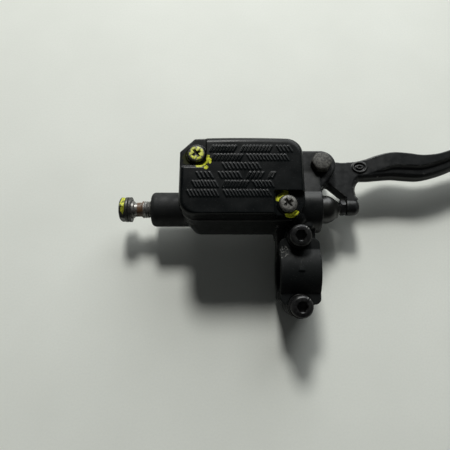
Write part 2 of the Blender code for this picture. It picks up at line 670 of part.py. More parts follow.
def banjo():
    seat = BANJO_SHOULDER
    profile = [
        (0.0, BANJO_TIP), (BANJO_RADIUS - 0.0008, BANJO_TIP), (BANJO_RADIUS, BANJO_TIP - 0.0008),
        (BANJO_RADIUS, BANJO_THREAD_START), (BANJO_WAIST, BANJO_THREAD_START - 0.0006),
        (BANJO_WAIST, seat + 2 * WASHER_THICKNESS + 0.0020),
        (BANJO_RADIUS, seat + 2 * WASHER_THICKNESS + 0.0016), (BANJO_RADIUS, seat - 0.0001),
        (0.0, seat - 0.0001),
    ]
    bolt = turned("banjo_bolt", profile, BORE_AXIS, "X", 24)
    head = rod("banjo_head", (BANJO_HEAD_END, CYL_Y, 0.0), (seat, CYL_Y, 0.0),
               BANJO_HEAD_FLATS / math.sqrt(3), 6)
    bevelled(head, 0.0009, 1, 80)
    passage = rod("banjo_passage", (-0.090, CYL_Y, 0.0), (BANJO_TIP + 0.01, CYL_Y, 0.0), BANJO_HOLE, 12)
    cross = rod("banjo_cross", (-0.0876, CYL_Y - 0.01, 0.0), (-0.0876, CYL_Y + 0.01, 0.0), 0.0011, 8)
    join_all(bolt, (head,))
    cut_all(bolt, (passage,))
    boolean(bolt, cross, "DIFFERENCE", "MANIFOLD")
    finish(bolt, WORN_STEEL)
    for number in (1, 2):
        start = seat + GAP + (number - 1) * (WASHER_THICKNESS + GAP)
        ring = [
            (WASHER_RADIUS, start + WASHER_THICKNESS), (WASHER_RADIUS, start),
            (BANJO_RADIUS + GAP, start), (BANJO_RADIUS + GAP, start + WASHER_THICKNESS),
        ]
        finish(turned("crush_washer_%d" % number, ring, BORE_AXIS, "X", 24), WORN_STEEL)


# ---- inside the bore -------------------------------------------------------------------

def piston_group():
    """The piston with its two cups; its origin is on the bore's axis."""
    front, end, radius = PISTON_FRONT, PISTON_END, PISTON_RADIUS
    profile = [
        (0.0, end), (0.0032, end), (0.0038, end - 0.0006), (0.0038, 0.0096),
        (radius, 0.0092), (radius, 0.0060), (0.0036, 0.0058), (0.0036, 0.0026), (radius, 0.0024),
        (radius, 0.0), (0.0034, -0.0006), (0.0034, front + 0.0094), (radius, front + 0.0090),
        (radius, front + 0.0060), (0.0030, front + 0.0058), (0.0030, front + 0.0014),
        (0.0036, front + 0.0012), (0.0036, front), (0.0, front),
    ]
    finish(turned("piston", profile, BORE_AXIS), ALUMINIUM)
    for name, lip, heel, hole in (("primary_cup", front + 0.0018, front + 0.0054, 0.0033),
                                  ("secondary_cup", 0.0029, 0.0055, 0.0039)):
        cup = [(radius - 0.0007, heel), (radius, lip), (radius - 0.0008, lip),
               (radius - 0.0015, lip + 0.0010), (hole, lip + 0.0010), (hole, heel)]
        finish(turned(name, cup, BORE_AXIS), RUBBER)


def piston_spring():
    """A coil between the bore's closed end and the piston."""
    start = BORE_END + 0.0005 + SPRING_WIRE
    end = PISTON_FRONT - 0.0005 - SPRING_WIRE
    per_turn = 10
    total = SPRING_TURNS * per_turn
    curve = bpy.data.curves.new("piston_spring", "CURVE")
    curve.dimensions = "3D"
    curve.bevel_depth = SPRING_WIRE
    curve.bevel_resolution = 1
    curve.use_fill_caps = True
    spline = curve.splines.new("POLY")
    spline.points.add(total)
    for step, point in enumerate(spline.points):
        angle = 2 * math.pi * step / per_turn
        x = start + (end - start) * step / total
        point.co = (x, SPRING_RADIUS * math.cos(angle), SPRING_RADIUS * math.sin(angle), 1.0)
    spring = bpy.data.objects.new("piston_spring", curve)
    PARTS.objects.link(spring)
    spring.location = BORE_AXIS
    curve.materials.append(SPRING_STEEL)


def bore_end():
    """The stop washer, the circlip that holds it and the rubber boot."""
    inner = CIRCLIP_GROOVE[0] + GAP
    outer = inner + CLIP_THICKNESS
    washer = [(0.0061, outer - GAP), (0.0061, inner), (0.0042, inner), (0.0042, outer - GAP)]
    finish(turned("stop_washer", washer, BORE_AXIS), SPRING_STEEL)
    reach = CIRCLIP_GROOVE_RADIUS - GAP
    circlip = turned("circlip", [(reach, outer), (reach, inner), (0.0064, inner), (0.0064, outer)], BORE_AXIS)
    opening = block("circlip_opening", (inner - 0.002, CYL_Y - 0.0015, 0.0),
                    (outer + 0.002, CYL_Y + 0.0015, 0.010))
    cut_all(circlip, (opening,))
    finish(circlip, SPRING_STEEL)

    lip, base, length = 0.0042, BOOT_SEAT_START + GAP, BOOT_END - BOOT_DOME
    profile = [(lip, BOOT_END)]
    for x, y in arc(BOOT_DOME, 0.0, length, 0, 75, 5)[1:]:
        profile.append((lip + (BOOT_RADIUS - lip) * y / length, x))
    profile += [(BOOT_RADIUS, base), (0.0066, base), (0.0066, BOOT_DOME), (0.0052, BOOT_END - 0.0026),
                (lip, BOOT_END - 0.0010)]
    finish(turned("dust_boot", profile, BORE_AXIS), RUBBER, 50)


# ---- lever and its pivot ---------------------------------------------------------------

def lever_section(x, y, width, height, lean):
    """A rounded section across the blade: flat above and below, bulging towards the rider."""
    half_w, half_h = width / 2, height / 2
    shape = [
        (1.00, -0.55), (1.00, 0.55), (0.84, 0.86), (0.58, 1.00), (-0.14, 1.00), (-0.46, 0.84),
        (-0.84, 0.42), (-1.00, 0.00), (-0.84, -0.42), (-0.46, -0.84), (-0.14, -1.00), (0.58, -1.00),
        (0.84, -0.86),
    ]
    return [
        Vector((x - math.sin(lean) * across * half_w, y + math.cos(lean) * across * half_w, up * half_h))
        for across, up in shape
    ]


def blade():
    """The lever's blade, lofted through its stations."""
    bm = bmesh.new()
    rings = []
    stations = LEVER_STATIONS
    for index, (x, y, width, height) in enumerate(stations):
        before = stations[max(index - 1, 0)]
        after = stations[min(index + 1, len(stations) - 1)]
        lean = math.atan2(after[1] - before[1], after[0] - before[0])
        rings.append([bm.verts.new(point) for point in lever_section(x, y, width, height, lean)])
    count = len(rings[0])
    for first, second in zip(rings, rings[1:]):
        for index in range(count):
            following = (index + 1) % count
            bm.faces.new((first[index], first[following], second[following], second[index]))
    bm.faces.new(rings[0][::-1])
    bm.faces.new(rings[-1])
    bmesh.ops.recalc_face_normals(bm, faces=bm.faces)
    return from_bmesh(bm, "brake_lever", PARTS)


def lever_plate_outline():
    """The flat plate seen from above: the hub, the arm down to the nose and the blade's root."""
    points = arc(PIVOT_X, PIVOT_Y, HUB_RADIUS, 40, 265, 16)
    points += [(0.0205, 0.0497), (0.0298, 0.0412), (0.0300, 0.0392), (0.0370, 0.0392), (0.0372, 0.0408)]
    points += [(0.0360, 0.0430), (0.0356, 0.0460)]
    points += arc(0.0453, 0.0461, 0.0097, 165, 95, 6)
    points += [(0.0480, 0.0560), (0.0480, 0.0650), (0.0417, 0.0641), (0.0370, 0.0634), (0.0290, 0.0627)]
    return points


def brake_lever():
    lever = blade()
    plate = outline("lever_plate", lever_plate_outline(), HUB_HALF, Matrix.Identity(4))
    dome = [(NOSE_RADIUS * math.sin(angle), NOSE_RIGHT - NOSE_DOME * (1 - math.cos(angle)))
            for angle in (math.radians(15 * step) for step in range(7))]
    nose = turned("lever_nose", dome + [(NOSE_RADIUS, NOSE_LEFT), (0.0, NOSE_LEFT)], (0.0, ADJUSTER_Y, 0.0),
                  "X", 24, CUTTERS)
    bm = bmesh.new()
    bmesh.ops.create_uvsphere(bm, u_segments=20, v_segments=12, radius=BALL_RADIUS)
    ball = from_bmesh(bm, "lever_ball")
    ball.location = (BALL_X, BALL_Y, 0.0)
    ball.rotation_euler.x = math.radians(7)
    join_all(lever, (plate, nose, ball))
    hub_hole = rod("hub_hole", (PIVOT_X, PIVOT_Y, -0.02), (PIVOT_X, PIVOT_Y, 0.02), BUSH_OUTER + GAP, 24)
    screw_hole = rod("adjuster_hole", (NOSE_LEFT - 0.005, ADJUSTER_Y, 0.0),
                     (NOSE_RIGHT + 0.01, ADJUSTER_Y, 0.0), ADJUSTER_RADIUS + GAP, 16)
    cut_all(lever, (hub_hole, screw_hole))
    finish(lever, BLACK_LEVER)
    moved_to(lever, PIVOT)
    return lever


def adjuster():
    """The screw in the lever's nose that pushes the piston, and its lock nut."""
    tip, end, radius = ADJUSTER_TIP, ADJUSTER_END, ADJUSTER_RADIUS
    profile = [(0.0, end), (radius - 0.0004, end), (radius, end - 0.0004), (radius, tip + 0.0016),
               (radius * 0.8, tip + 0.0005), (radius * 0.4, tip + 0.0001), (0.0, tip)]
    axis = Vector((0.0, ADJUSTER_Y, 0.0))
    screw = turned("adjuster_screw", profile, axis, "X", 16)
    key = rod("adjuster_key", (end - 0.0025, ADJUSTER_Y, 0.0), (end + 0.002, ADJUSTER_Y, 0.0),
              0.0025 / math.sqrt(3), 6)
    cut_all(screw, (key,))
    finish(screw, BLACK_STEEL)
    nut = rod("adjuster_lock_nut", (NOSE_LEFT - GAP - LOCK_NUT_HEIGHT, ADJUSTER_Y, 0.0),
              (NOSE_LEFT - GAP, ADJUSTER_Y, 0.0), LOCK_NUT_FLATS / math.sqrt(3), 6, PARTS)
    hole = rod("lock_nut_hole", (0.02, ADJUSTER_Y, 0.0), (0.04, ADJUSTER_Y, 0.0), radius + GAP, 16)
    cut_all(nut, (hole,))
    finish(nut, BLACK_STEEL)
    return screw, nut


def pivot_hardware():
    bush = turned("pivot_bush", [(BUSH_OUTER, HUB_HALF), (BUSH_OUTER, -HUB_HALF), (BUSH_INNER, -HUB_HALF),
                                 (BUSH_INNER, HUB_HALF)], PIVOT, "Z", 24)
    finish(bush, BRONZE)
    nut_top = EAR_BOTTOM - GAP
    shank_end = nut_top - PIVOT_NUT_HEIGHT - 0.0010
    head_low = EAR_TOP + GAP
    bolt = rod("pivot_bolt", (PIVOT_X, PIVOT_Y, head_low), (PIVOT_X, PIVOT_Y, head_low + PIVOT_HEAD_HEIGHT),
               PIVOT_HEAD_FLATS / math.sqrt(3), 6, PARTS)
    bevelled(bolt, 0.0005, 1, 80)
    shank = rod("pivot_shank", (PIVOT_X, PIVOT_Y, shank_end), (PIVOT_X, PIVOT_Y, EAR_TOP + 0.001),
                PIVOT_BOLT_RADIUS, 20)
    join_all(bolt, (shank,))
    finish(bolt, WORN_STEEL)
    nut = rod("pivot_nut", (PIVOT_X, PIVOT_Y, nut_top - PIVOT_NUT_HEIGHT), (PIVOT_X, PIVOT_Y, nut_top),
              PIVOT_HEAD_FLATS / math.sqrt(3), 6, PARTS)
    hole = rod("pivot_nut_hole", (PIVOT_X, PIVOT_Y, -0.03), (PIVOT_X, PIVOT_Y, 0.0),
               PIVOT_BOLT_RADIUS + GAP, 20)
    cut_all(nut, (hole,))
    finish(nut, WORN_STEEL)
    return bush


def lever_group():
    """Everything that swings with the lever hangs from an empty on the pivot's axis."""
    swing = bpy.data.objects.new("lever_pivot_axis", None)
    PARTS.objects.link(swing)
    swing.location = PIVOT
    bpy.context.view_layer.update()
    for piece in (brake_lever(), *adjuster(), pivot_hardware()):
        piece.parent = swing
        piece.matrix_parent_inverse = Matrix.Translation(-PIVOT)


casting()
clamp_parts()
reservoir_cap()
under_cap()
banjo()
piston_group()
piston_spring()
bore_end()
lever_group()
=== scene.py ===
"""Looks for a front brake master cylinder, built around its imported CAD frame.

Frame: the origin is the centre of the handlebar clamp. +X runs along the handlebar towards
the lever's tip, +Y forward and +Z up through the reservoir's cap. Everything is in metres.
"""
import math
import random

import bmesh
import bpy
import numpy as np
from mathutils import Matrix, Vector


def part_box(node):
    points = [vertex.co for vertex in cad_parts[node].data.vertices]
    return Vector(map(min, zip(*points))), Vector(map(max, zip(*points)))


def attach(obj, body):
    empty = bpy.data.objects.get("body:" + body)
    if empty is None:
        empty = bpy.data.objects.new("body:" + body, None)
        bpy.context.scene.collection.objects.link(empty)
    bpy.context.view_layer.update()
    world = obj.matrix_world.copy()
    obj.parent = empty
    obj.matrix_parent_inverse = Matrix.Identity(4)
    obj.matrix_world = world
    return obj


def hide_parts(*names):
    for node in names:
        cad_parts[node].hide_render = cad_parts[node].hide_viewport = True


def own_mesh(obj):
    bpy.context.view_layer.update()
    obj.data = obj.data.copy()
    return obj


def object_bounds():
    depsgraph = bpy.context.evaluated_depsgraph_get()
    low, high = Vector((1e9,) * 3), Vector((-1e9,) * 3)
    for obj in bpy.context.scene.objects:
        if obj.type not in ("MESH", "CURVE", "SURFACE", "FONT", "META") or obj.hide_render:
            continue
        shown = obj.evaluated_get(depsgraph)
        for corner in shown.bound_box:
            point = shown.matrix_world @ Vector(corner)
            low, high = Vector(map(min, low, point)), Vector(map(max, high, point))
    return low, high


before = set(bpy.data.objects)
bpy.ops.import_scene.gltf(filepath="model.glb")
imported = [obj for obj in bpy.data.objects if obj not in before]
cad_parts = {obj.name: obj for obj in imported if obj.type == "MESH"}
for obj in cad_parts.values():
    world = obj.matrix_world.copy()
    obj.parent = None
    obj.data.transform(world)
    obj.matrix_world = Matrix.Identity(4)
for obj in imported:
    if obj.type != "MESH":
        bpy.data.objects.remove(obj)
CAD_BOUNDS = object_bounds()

ROUND = 96
FINE = 144
GAP = 0.0003


def middle(node):
    low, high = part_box(node)
    return (low + high) / 2


def along_x(y):
    """Where a piece turned about an axis along X stands, level with the handlebar's centre."""
    return Matrix.Translation((0.0, y, 0.0)) @ Matrix.Rotation(math.radians(90), 4, "Y")


# ---- places, read from the frame or kept as in the design ----

CYL_Y = middle("piston").y
BORE_AXIS = along_x(CYL_Y)
PIVOT = middle("pivot_bush")
CAP_LOW, CAP_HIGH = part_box("reservoir_cap")
TUB_TOP = CAP_LOW.z - GAP
CAP_SCREWS = {number: middle("cap_screw_%d" % number) for number in (1, 2)}
POCKET_FLOOR = 0.0236
CAP_TOP_PAINT = 0.0268
TUB_CORNER = 0.0085
BOSS_RADIUS = 0.0132
BOSS_END = 0.0145
OUTLET_RADIUS = 0.0096
OUTLET_FACE = -0.079
CLAMP_LEAN = Matrix.Rotation(math.radians(12), 4, "X")
CLAMP_RADIUS = 0.016
BAR_RADIUS = 0.0111
CLAMP_BOLT_OFFSET = 0.01775
LUG_TOP = 0.011
EAR_RADIUS = 0.0083
ADJUSTER_AXIS = along_x(middle("adjuster_screw").y)

# The lever's blade: x, y of its middle, width along Y, height along Z, and where across it
# the raised top ends, as a share of half the width.
BLADE_STATIONS = (
    (0.0290, 0.0574, 0.0094, 0.0083, -0.60),
    (0.0370, 0.0583, 0.0108, 0.0086, -0.60),
    (0.0440, 0.0593, 0.0122, 0.0098, -0.52),
    (0.0510, 0.0607, 0.0138, 0.0122, -0.40),
    (0.0580, 0.0615, 0.0146, 0.0140, -0.20),
    (0.0660, 0.0609, 0.0147, 0.0142, -0.13),
    (0.0725, 0.0603, 0.0139, 0.0142, -0.08),
    (0.0790, 0.0610, 0.0125, 0.0142, 0.00),
    (0.0860, 0.0627, 0.0113, 0.0140, 0.10),
    (0.0950, 0.0660, 0.0104, 0.0138, 0.12),
    (0.1080, 0.0700, 0.0098, 0.0132, 0.10),
    (0.1220, 0.0727, 0.0092, 0.0124, 0.05),
    (0.1360, 0.0731, 0.0088, 0.0114, 0.00),
    (0.1480, 0.0714, 0.0084, 0.0106, 0.00),
    (0.1570, 0.0690, 0.0082, 0.0102, 0.00),
    (0.1650, 0.0662, 0.0080, 0.0098, 0.00),
)
BLADE_SHELF = 0.0046
BLADE_STEP = 0.0012
PLATE_HALF = 0.0042
BALL = Vector((0.167, 0.0655, 0.0))
BALL_RADIUS = 0.0092


# ---- materials ----

class Look:
    """A Principled material with short ways to add nodes to it, in the object's own place."""

    def __init__(self, name, roughness, metallic=0.0):
        self.material = bpy.data.materials.new(name)
        self.material.use_nodes = True
        self.nodes = self.material.node_tree.nodes
        self.links = self.material.node_tree.links
        self.shader = self.nodes["Principled BSDF"]
        self.put("Roughness", roughness)
        self.put("Metallic", metallic)
        self.place = self.node("TexCoord").outputs["Object"]

    def join(self, value, socket):
        if isinstance(value, bpy.types.NodeSocket):
            self.links.new(value, socket)
        else:
            socket.default_value = value

    def put(self, name, value):
        self.join(value, self.shader.inputs[name])

    def now(self, name):
        """What feeds the shader's socket so far."""
        return self.shader.inputs[name].links[0].from_socket

    def node(self, kind, **inputs):
        """A new node with its inputs set or joined; their names have _ for each space."""
        made = self.nodes.new("ShaderNode" + kind)
        for name, value in inputs.items():
            self.join(value, made.inputs[name.replace("_", " ")])
        return made

    def math(self, operation, first, second):
        made = self.node("Math")
        made.operation = operation
        self.join(first, made.inputs[0])
        self.join(second, made.inputs[1])
        return made.outputs[0]

    def stretched(self, scale):
        return self.node("Mapping", Vector=self.place, Scale=scale).outputs[0]

    def noise(self, scale, detail, distortion=0.0, place=None):
        made = self.node("TexNoise", Vector=place or self.place, Scale=scale, Detail=detail)
        made.inputs["Distortion"].default_value = distortion
        return made.outputs["Fac"]

    def step(self, value, low, high, start=0.0, end=1.0):
        """Runs from start to end as the value goes from low to high."""
        made = self.node("MapRange", Value=value, From_Min=low, From_Max=high, To_Min=start, To_Max=end)
        return made.outputs["Result"]

    def blots(self, scale, detail, low, high, start=0.0, end=1.0, distortion=0.0):
        """Noise whose range from low to high runs from start to end."""
        return self.step(self.noise(scale, detail, distortion), low, high, start, end)

    def mix(self, share, first, second):
        made = self.node("Mix")
        made.data_type = "RGBA"
        self.join(share, made.inputs[0])
        for colour, socket in ((first, made.inputs[6]), (second, made.inputs[7])):
            self.join((*colour, 1.0) if isinstance(colour, tuple) else colour, socket)
        return made.outputs[2]

    def paint(self, share, first, second):
        """Gives the first two colours."""
        self.put("Base Color", self.mix(share, first, second))

    def over(self, share, colour):
        """Lays a colour over the ones so far."""
        self.paint(share, self.now("Base Color"), colour)

    def edges(self, low, high):
        """Grows from 0 to 1 on edges that stick out, broken up by noise."""
        pointed = self.node("NewGeometry").outputs["Pointiness"]
        broken = self.math("MULTIPLY", self.noise(420.0, 4.0), 0.1)
        return self.step(self.math("ADD", pointed, broken), low + 0.05, high + 0.05)

    def hollows(self, low, high):
        """Grows from 0 to 1 in grooves and inner corners."""
        return self.step(self.node("NewGeometry").outputs["Pointiness"], high, low)

    def patch(self, centre, size, ragged=0.35, scale=700.0):
        """A patch of paint or dirt: 1 inside an ellipsoid whose border the noise breaks up."""
        inside = self.node("Mapping", Vector=self.place, Location=centre, Scale=size)
        inside.vector_type = "TEXTURE"
        length = self.node("VectorMath")
        length.operation = "LENGTH"
        self.join(inside.outputs[0], length.inputs[0])
        wobble = self.math("MULTIPLY", self.noise(scale, 3.0), 2.0 * ragged)
        reach = self.math("ADD", length.outputs["Value"], self.math("SUBTRACT", wobble, ragged))
        return self.step(reach, 1.06, 0.94)

    def ring(self, centre, radius, width):
        """A ring-shaped smear about an upright axis."""
        outer = self.patch(centre, (radius + width, radius + width, 1.0), 0.075)
        inner = self.patch(centre, (radius - width, radius - width, 1.0), 0.075)
        return self.math("MULTIPLY", outer, self.math("SUBTRACT", 1.0, inner))

    def both(self, first, second):
        return self.math("MULTIPLY", first, second)

    def either(self, first, *others):
        for other in others:
            first = self.math("MAXIMUM", first, other)
        return first

    def bump(self, height, distance):
        self.put("Normal", self.node("Bump", Strength=1.0, Distance=distance, Height=height).outputs[0])


YELLOW = (0.62, 0.66, 0.045)
YELLOW_DARK = (0.3, 0.31, 0.02)


def grained(look, scale, distance):
    """A fine cast or moulded grain with some larger unevenness."""
    fine = look.noise(scale, 2.0)
    broad = look.noise(scale * 0.12, 2.0)
    look.bump(look.math("ADD", look.math("MULTIPLY", fine, 0.5), broad), distance)


def satin_black(name, dark, light, roughness, worn, dust):
    """Satin paint on a casting: uneven gloss, pale specks of dust and rubbed edges."""
    look = Look(name, roughness)
    look.put("Specular IOR Level", 0.27)
    look.paint(look.blots(75.0, 4.0, 0.35, 0.68, distortion=0.6), dark, light)
    look.over(look.blots(1900.0, 1.0, 0.7, 0.76, 0.0, dust), (0.2, 0.2, 0.19))
    rubbed = look.edges(0.565, 0.66)
    look.over(look.both(rubbed, worn), (0.17, 0.17, 0.165))
    look.put("Roughness", look.blots(260.0, 3.0, 0.3, 0.7, roughness - 0.06, roughness + 0.07))
    look.put("Metallic", look.both(rubbed, worn * 0.5))
    grained(look, 2600.0, 0.000016)
    return look


def casting_paint():
    """The casting's paint: chalkier round the outlet, with a painted highlight along the reservoir's rim."""
    dark, light = (0.005, 0.006, 0.0062), (0.01, 0.011, 0.011)
    look = satin_black("casting_paint", dark, light, 0.33, 0.75, 0.3)
    chalky = look.patch((OUTLET_FACE, CYL_Y, 0.0), (0.019, 0.03, 0.03), 0.05)
    look.put("Roughness", look.math("ADD", look.now("Roughness"), look.both(chalky, 0.3)))
    # painted highlight: the tub's rim made lighter at its front-left corner and along its front, where light
    # catches it
    corner = look.patch((CAP_LOW.x + 0.002, CAP_LOW.y + 0.003, TUB_TOP), (0.0046, 0.0072, 0.0011), 0.1)
    front = look.patch((middle("reservoir_cap").x, CAP_LOW.y, TUB_TOP), (0.03, 0.003, 0.0007), 0.1)
    look.over(look.either(look.both(corner, 0.75), look.both(front, 0.3)), (0.16, 0.16, 0.155))
    return look


def clamp_paint():
    """The casting's paint, with a scuffed corner next to the upper bolt."""
    dark, light = (0.005, 0.0062, 0.0064), (0.01, 0.0112, 0.0112)
    look = satin_black("clamp_paint", dark, light, 0.6, 0.75, 0.25)
    look.put("Specular IOR Level", 0.15)
    corner = look.patch((-0.0084, 0.0072, 0.0145), (0.0026, 0.0034, 0.006), 0.6, 500.0)
    look.over(look.both(corner, look.blots(1300.0, 2.0, 0.56, 0.61)), (0.17, 0.17, 0.16))
    return look


def lever_paint():
    """The lever's paint, rubbed thinner than the casting's on every edge, with a painted highlight along its
    edges as well.
    """
    dark, light = (0.0085, 0.0095, 0.01), (0.014, 0.015, 0.015)
    look = satin_black("lever_paint", dark, light, 0.34, 0.9, 0.16)
    # painted highlight: a pale line along the lever's sharp edges, where light catches them
    look.over(look.both(look.edges(0.515, 0.56), 0.6), (0.16, 0.16, 0.155))
    return look


def yellow_paint(look, mask):
    """Inspection paint over what is there: bright where it is thick, olive where it is thin."""
    look.over(mask, look.mix(look.blots(900.0, 3.0, 0.35, 0.6), YELLOW_DARK, YELLOW))


def cap_place(number, shift):
    """A point that far from where a cap screw's axis meets its pocket's floor."""
    screw = CAP_SCREWS[number]
    return (screw.x + shift[0], screw.y + shift[1], POCKET_FLOOR + shift[2])


def cap_plastic():
    """Black moulded plastic with smudges and the smears of inspection paint by both screws."""
    look = Look("cap_plastic", 0.3)
    look.put("Specular IOR Level", 0.11)
    clouds = look.blots(55.0, 5.0, 0.35, 0.65, distortion=1.0)
    look.paint(clouds, (0.002, 0.0028, 0.0032), (0.005, 0.006, 0.0062))
    look.over(look.blots(2100.0, 1.0, 0.71, 0.76, 0.0, 0.25), (0.16, 0.16, 0.15))
    look.over(look.both(look.edges(0.56, 0.64), 0.55), (0.1, 0.105, 0.1))

    def dab(number, shift, size, ragged=0.3):
        return look.patch(cap_place(number, shift), size, ragged)

    def smear(number, centre, radius, width, shift, size):
        """The stretch of a ring round a screw that lies in a dab."""
        return look.both(look.ring(cap_place(number, centre), radius, width), dab(number, shift, size))

    beside, around = CAP_TOP_PAINT - POCKET_FLOOR, (0.0, 0.0, 0.0)
    smears = look.either(
        smear(1, (0.0002, -0.0004, 0.0), 0.0068, 0.001, (0.0036, -0.0048, 0.002), (0.0042, 0.0046, 0.006)),
        dab(1, (0.0072, -0.0048, beside), (0.0008, 0.0017, 0.003)),
        dab(1, (0.0052, -0.0084, beside), (0.0012, 0.0011, 0.003)),
        smear(2, around, 0.0059, 0.0011, (-0.0036, 0.005, 0.0), (0.0046, 0.0034, 0.003)),
        smear(2, around, 0.0056, 0.0012, (0.0022, -0.0052, 0.0), (0.004, 0.0022, 0.003)),
    )
    stain = dab(1, (-0.005, -0.0016, 0.0), (0.0024, 0.0036, 0.003), 0.5)
    look.over(look.both(stain, 0.05), YELLOW_DARK)
    yellow_paint(look, smears)
    look.put("Roughness", look.blots(120.0, 4.0, 0.3, 0.7, 0.22, 0.31))
    grained(look, 2200.0, 0.000006)
    return look


def mottled_metal(name, dark, light, roughness, metallic, scale):
    """Weathered plating: patches of dull oxide over bright metal."""
    look = Look(name, roughness, metallic)
    patches = look.noise(scale, 5.0, 0.8)
    look.paint(look.step(patches, 0.36, 0.62), dark, light)
    pits = look.blots(scale * 3.5, 2.0, 0.64, 0.7)
    look.over(look.both(pits, 0.7), (0.05, 0.045, 0.04))
    look.put("Roughness", look.step(patches, 0.3, 0.7, roughness + 0.1, roughness - 0.08))
    look.bump(look.noise(scale * 2.0, 4.0), 0.00003)
    return look


def painted_screw(name, number, amount):
    """A cap screw's worn plating, under what is left of the inspection paint on its top."""
    metallic = 0.4
    look = mottled_metal(name, (0.04, 0.039, 0.034), (0.13, 0.127, 0.115), 0.5, metallic, 900.0)
    look.over(look.both(look.edges(0.56, 0.66), 0.7), (0.4, 0.4, 0.38))
    screw, high = CAP_SCREWS[number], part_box("cap_screw_%d" % number)[1].z
    top = look.patch(cap_place(number, (0.0, 0.0, 0.0024)), (0.0038, 0.0038, 0.0016), 0.15)
    skin = look.patch((screw.x, screw.y, high), (0.02, 0.02, 0.0004), 0.0)
    flakes = look.blots(520.0, 4.0, amount, amount + 0.05, distortion=0.6)
    left = look.both(flakes, look.both(top, skin))
    yellow_paint(look, left)
    look.put("Metallic", look.math("SUBTRACT", metallic, look.both(left, metallic)))
    return look


def banjo_steel():
    """A dark head daubed with inspection paint, a bright sleeve, a rusty waist and a thread."""
    metallic = 0.7
    look = mottled_metal("banjo_steel", (0.1, 0.098, 0.09), (0.3, 0.295, 0.28), 0.42, metallic, 700.0)
    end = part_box("banjo_bolt")[0].x
    head = look.patch((end - 0.001, CYL_Y, 0.0), (0.0052, 0.02, 0.02), 0.06)
    look.over(look.both(head, 0.93), (0.016, 0.016, 0.015))
    waist = look.patch((-0.0853, CYL_Y, 0.0), (0.002, 0.01, 0.01), 0.12)
    rust = look.both(waist, look.blots(650.0, 4.0, 0.28, 0.46))
    look.over(rust, (0.105, 0.055, 0.026))
    # painted shade: the thread's grooves and inner corners made darker
    look.over(look.both(look.hollows(0.4, 0.485), 0.85), (0.012, 0.01, 0.008))
    upper = look.patch((end + 0.0029, CYL_Y + 0.0014, 0.0056), (0.0014, 0.0056, 0.0056), 0.45)
    daub = look.both(upper, look.blots(420.0, 3.0, 0.4, 0.46, distortion=0.5))
    yellow_paint(look, daub)
    dull = look.either(rust, daub, look.both(head, 0.6))
    look.put("Metallic", look.math("SUBTRACT", metallic, look.both(dull, metallic)))
    return look


def black_oxide():
    look = Look("black_oxide", 0.36, 0.7)
    look.paint(look.blots(500.0, 4.0, 0.35, 0.65), (0.014, 0.014, 0.015), (0.04, 0.04, 0.04))
    look.over(look.edges(0.56, 0.66), (0.3, 0.3, 0.29))
    look.put("Roughness", look.blots(900.0, 3.0, 0.3, 0.7, 0.3, 0.46))
    look.bump(look.noise(2400.0, 3.0), 0.00001)
    return look


def turned_metal(name, dark, light, roughness):
    """Bright machined metal with fine turning marks round the bore's axis."""
    look = Look(name, roughness, 1.0)
    marks = look.noise(1500.0, 3.0, 0.0, look.stretched((6.0, 0.4, 0.4)))
    look.paint(look.step(marks, 0.3, 0.7), dark, light)
    look.over(look.blots(160.0, 4.0, 0.5, 0.8, 0.0, 0.3), dark)
    look.put("Roughness", look.step(marks, 0.3, 0.7, roughness - 0.06, roughness + 0.08))
    look.bump(marks, 0.000008)
    return look


def rubber(name, dark, light, roughness=0.48):
    look = Look(name, roughness)
    bloom = look.noise(180.0, 5.0, 0.5)
    look.paint(look.step(bloom, 0.35, 0.68), dark, light)
    look.put("Roughness", look.step(bloom, 0.3, 0.7, roughness - 0.06, roughness + 0.08))
    look.bump(look.noise(2600.0, 3.0), 0.000012)
    return look


def white_plastic():
    look = Look("white_plastic", 0.45)
    look.paint(look.noise(140.0, 4.0), (0.7, 0.69, 0.64), (0.8, 0.8, 0.77))
    look.put("Roughness", look.blots(700.0, 3.0, 0.3, 0.7, 0.38, 0.52))
    look.bump(look.noise(1800.0, 3.0), 0.00001)
    return look


def bench_paper():
    look = Look("bench_paper", 0.7)
    fibres = look.noise(900.0, 4.0)
    look.paint(look.blots(18.0, 3.0, 0.3, 0.7), (0.755, 0.775, 0.72), (0.8, 0.82, 0.765))
    look.over(look.step(fibres, 0.35, 0.7, 0.0, 0.25), (0.68, 0.7, 0.65))
    look.bump(fibres, 0.00002)
    return look


# ---- building blocks ----

ROUND_TOLERANCE = 0.00016
MOST_TRIANGLES = 180000


def adopt(data, name):
    made = bpy.data.objects.new(name, data)
    bpy.context.scene.collection.objects.link(made)
    return made


def from_bmesh(bm, name):
    bmesh.ops.recalc_face_normals(bm, faces=bm.faces)
    mesh = bpy.data.meshes.new(name)
    bm.to_mesh(mesh)
    bm.free()
    return adopt(mesh, name)


def baked(made):
    """Turns an object's modifiers into its mesh."""
    mesh = bpy.data.meshes.new_from_object(made.evaluated_get(bpy.context.evaluated_depsgraph_get()))
    old = made.data
    made.modifiers.clear()
    made.data = mesh
    bpy.data.meshes.remove(old)
    return made


def copied(node, name):
    """A copy of a CAD node's mesh, its split points joined again."""
    bm = bmesh.new()
    bm.from_mesh(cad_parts[node].data)
    bmesh.ops.remove_doubles(bm, verts=bm.verts, dist=0.000002)
    return from_bmesh(bm, name)


def joined(target, others):
    """Adds other closed shapes to a target: they become one skin when it is remeshed."""
    bm = bmesh.new()
    for part in (target, *others):
        bm.from_mesh(part.data)
    bm.to_mesh(target.data)
    bm.free()
    for part in others:
        bpy.data.objects.remove(part)
    return target


def cut(target, tools):
    for tool in tools:
        modifier = target.modifiers.new("cut", "BOOLEAN")
        modifier.operation = "DIFFERENCE"
        modifier.object = tool
        baked(target)
        bpy.data.objects.remove(tool)
    return target


def remeshed(made, voxel):
    """Makes one skin over all that the mesh holds."""
    skin = made.modifiers.new("skin", "REMESH")
    skin.mode = "VOXEL"
    skin.voxel_size = voxel
    baked(made)


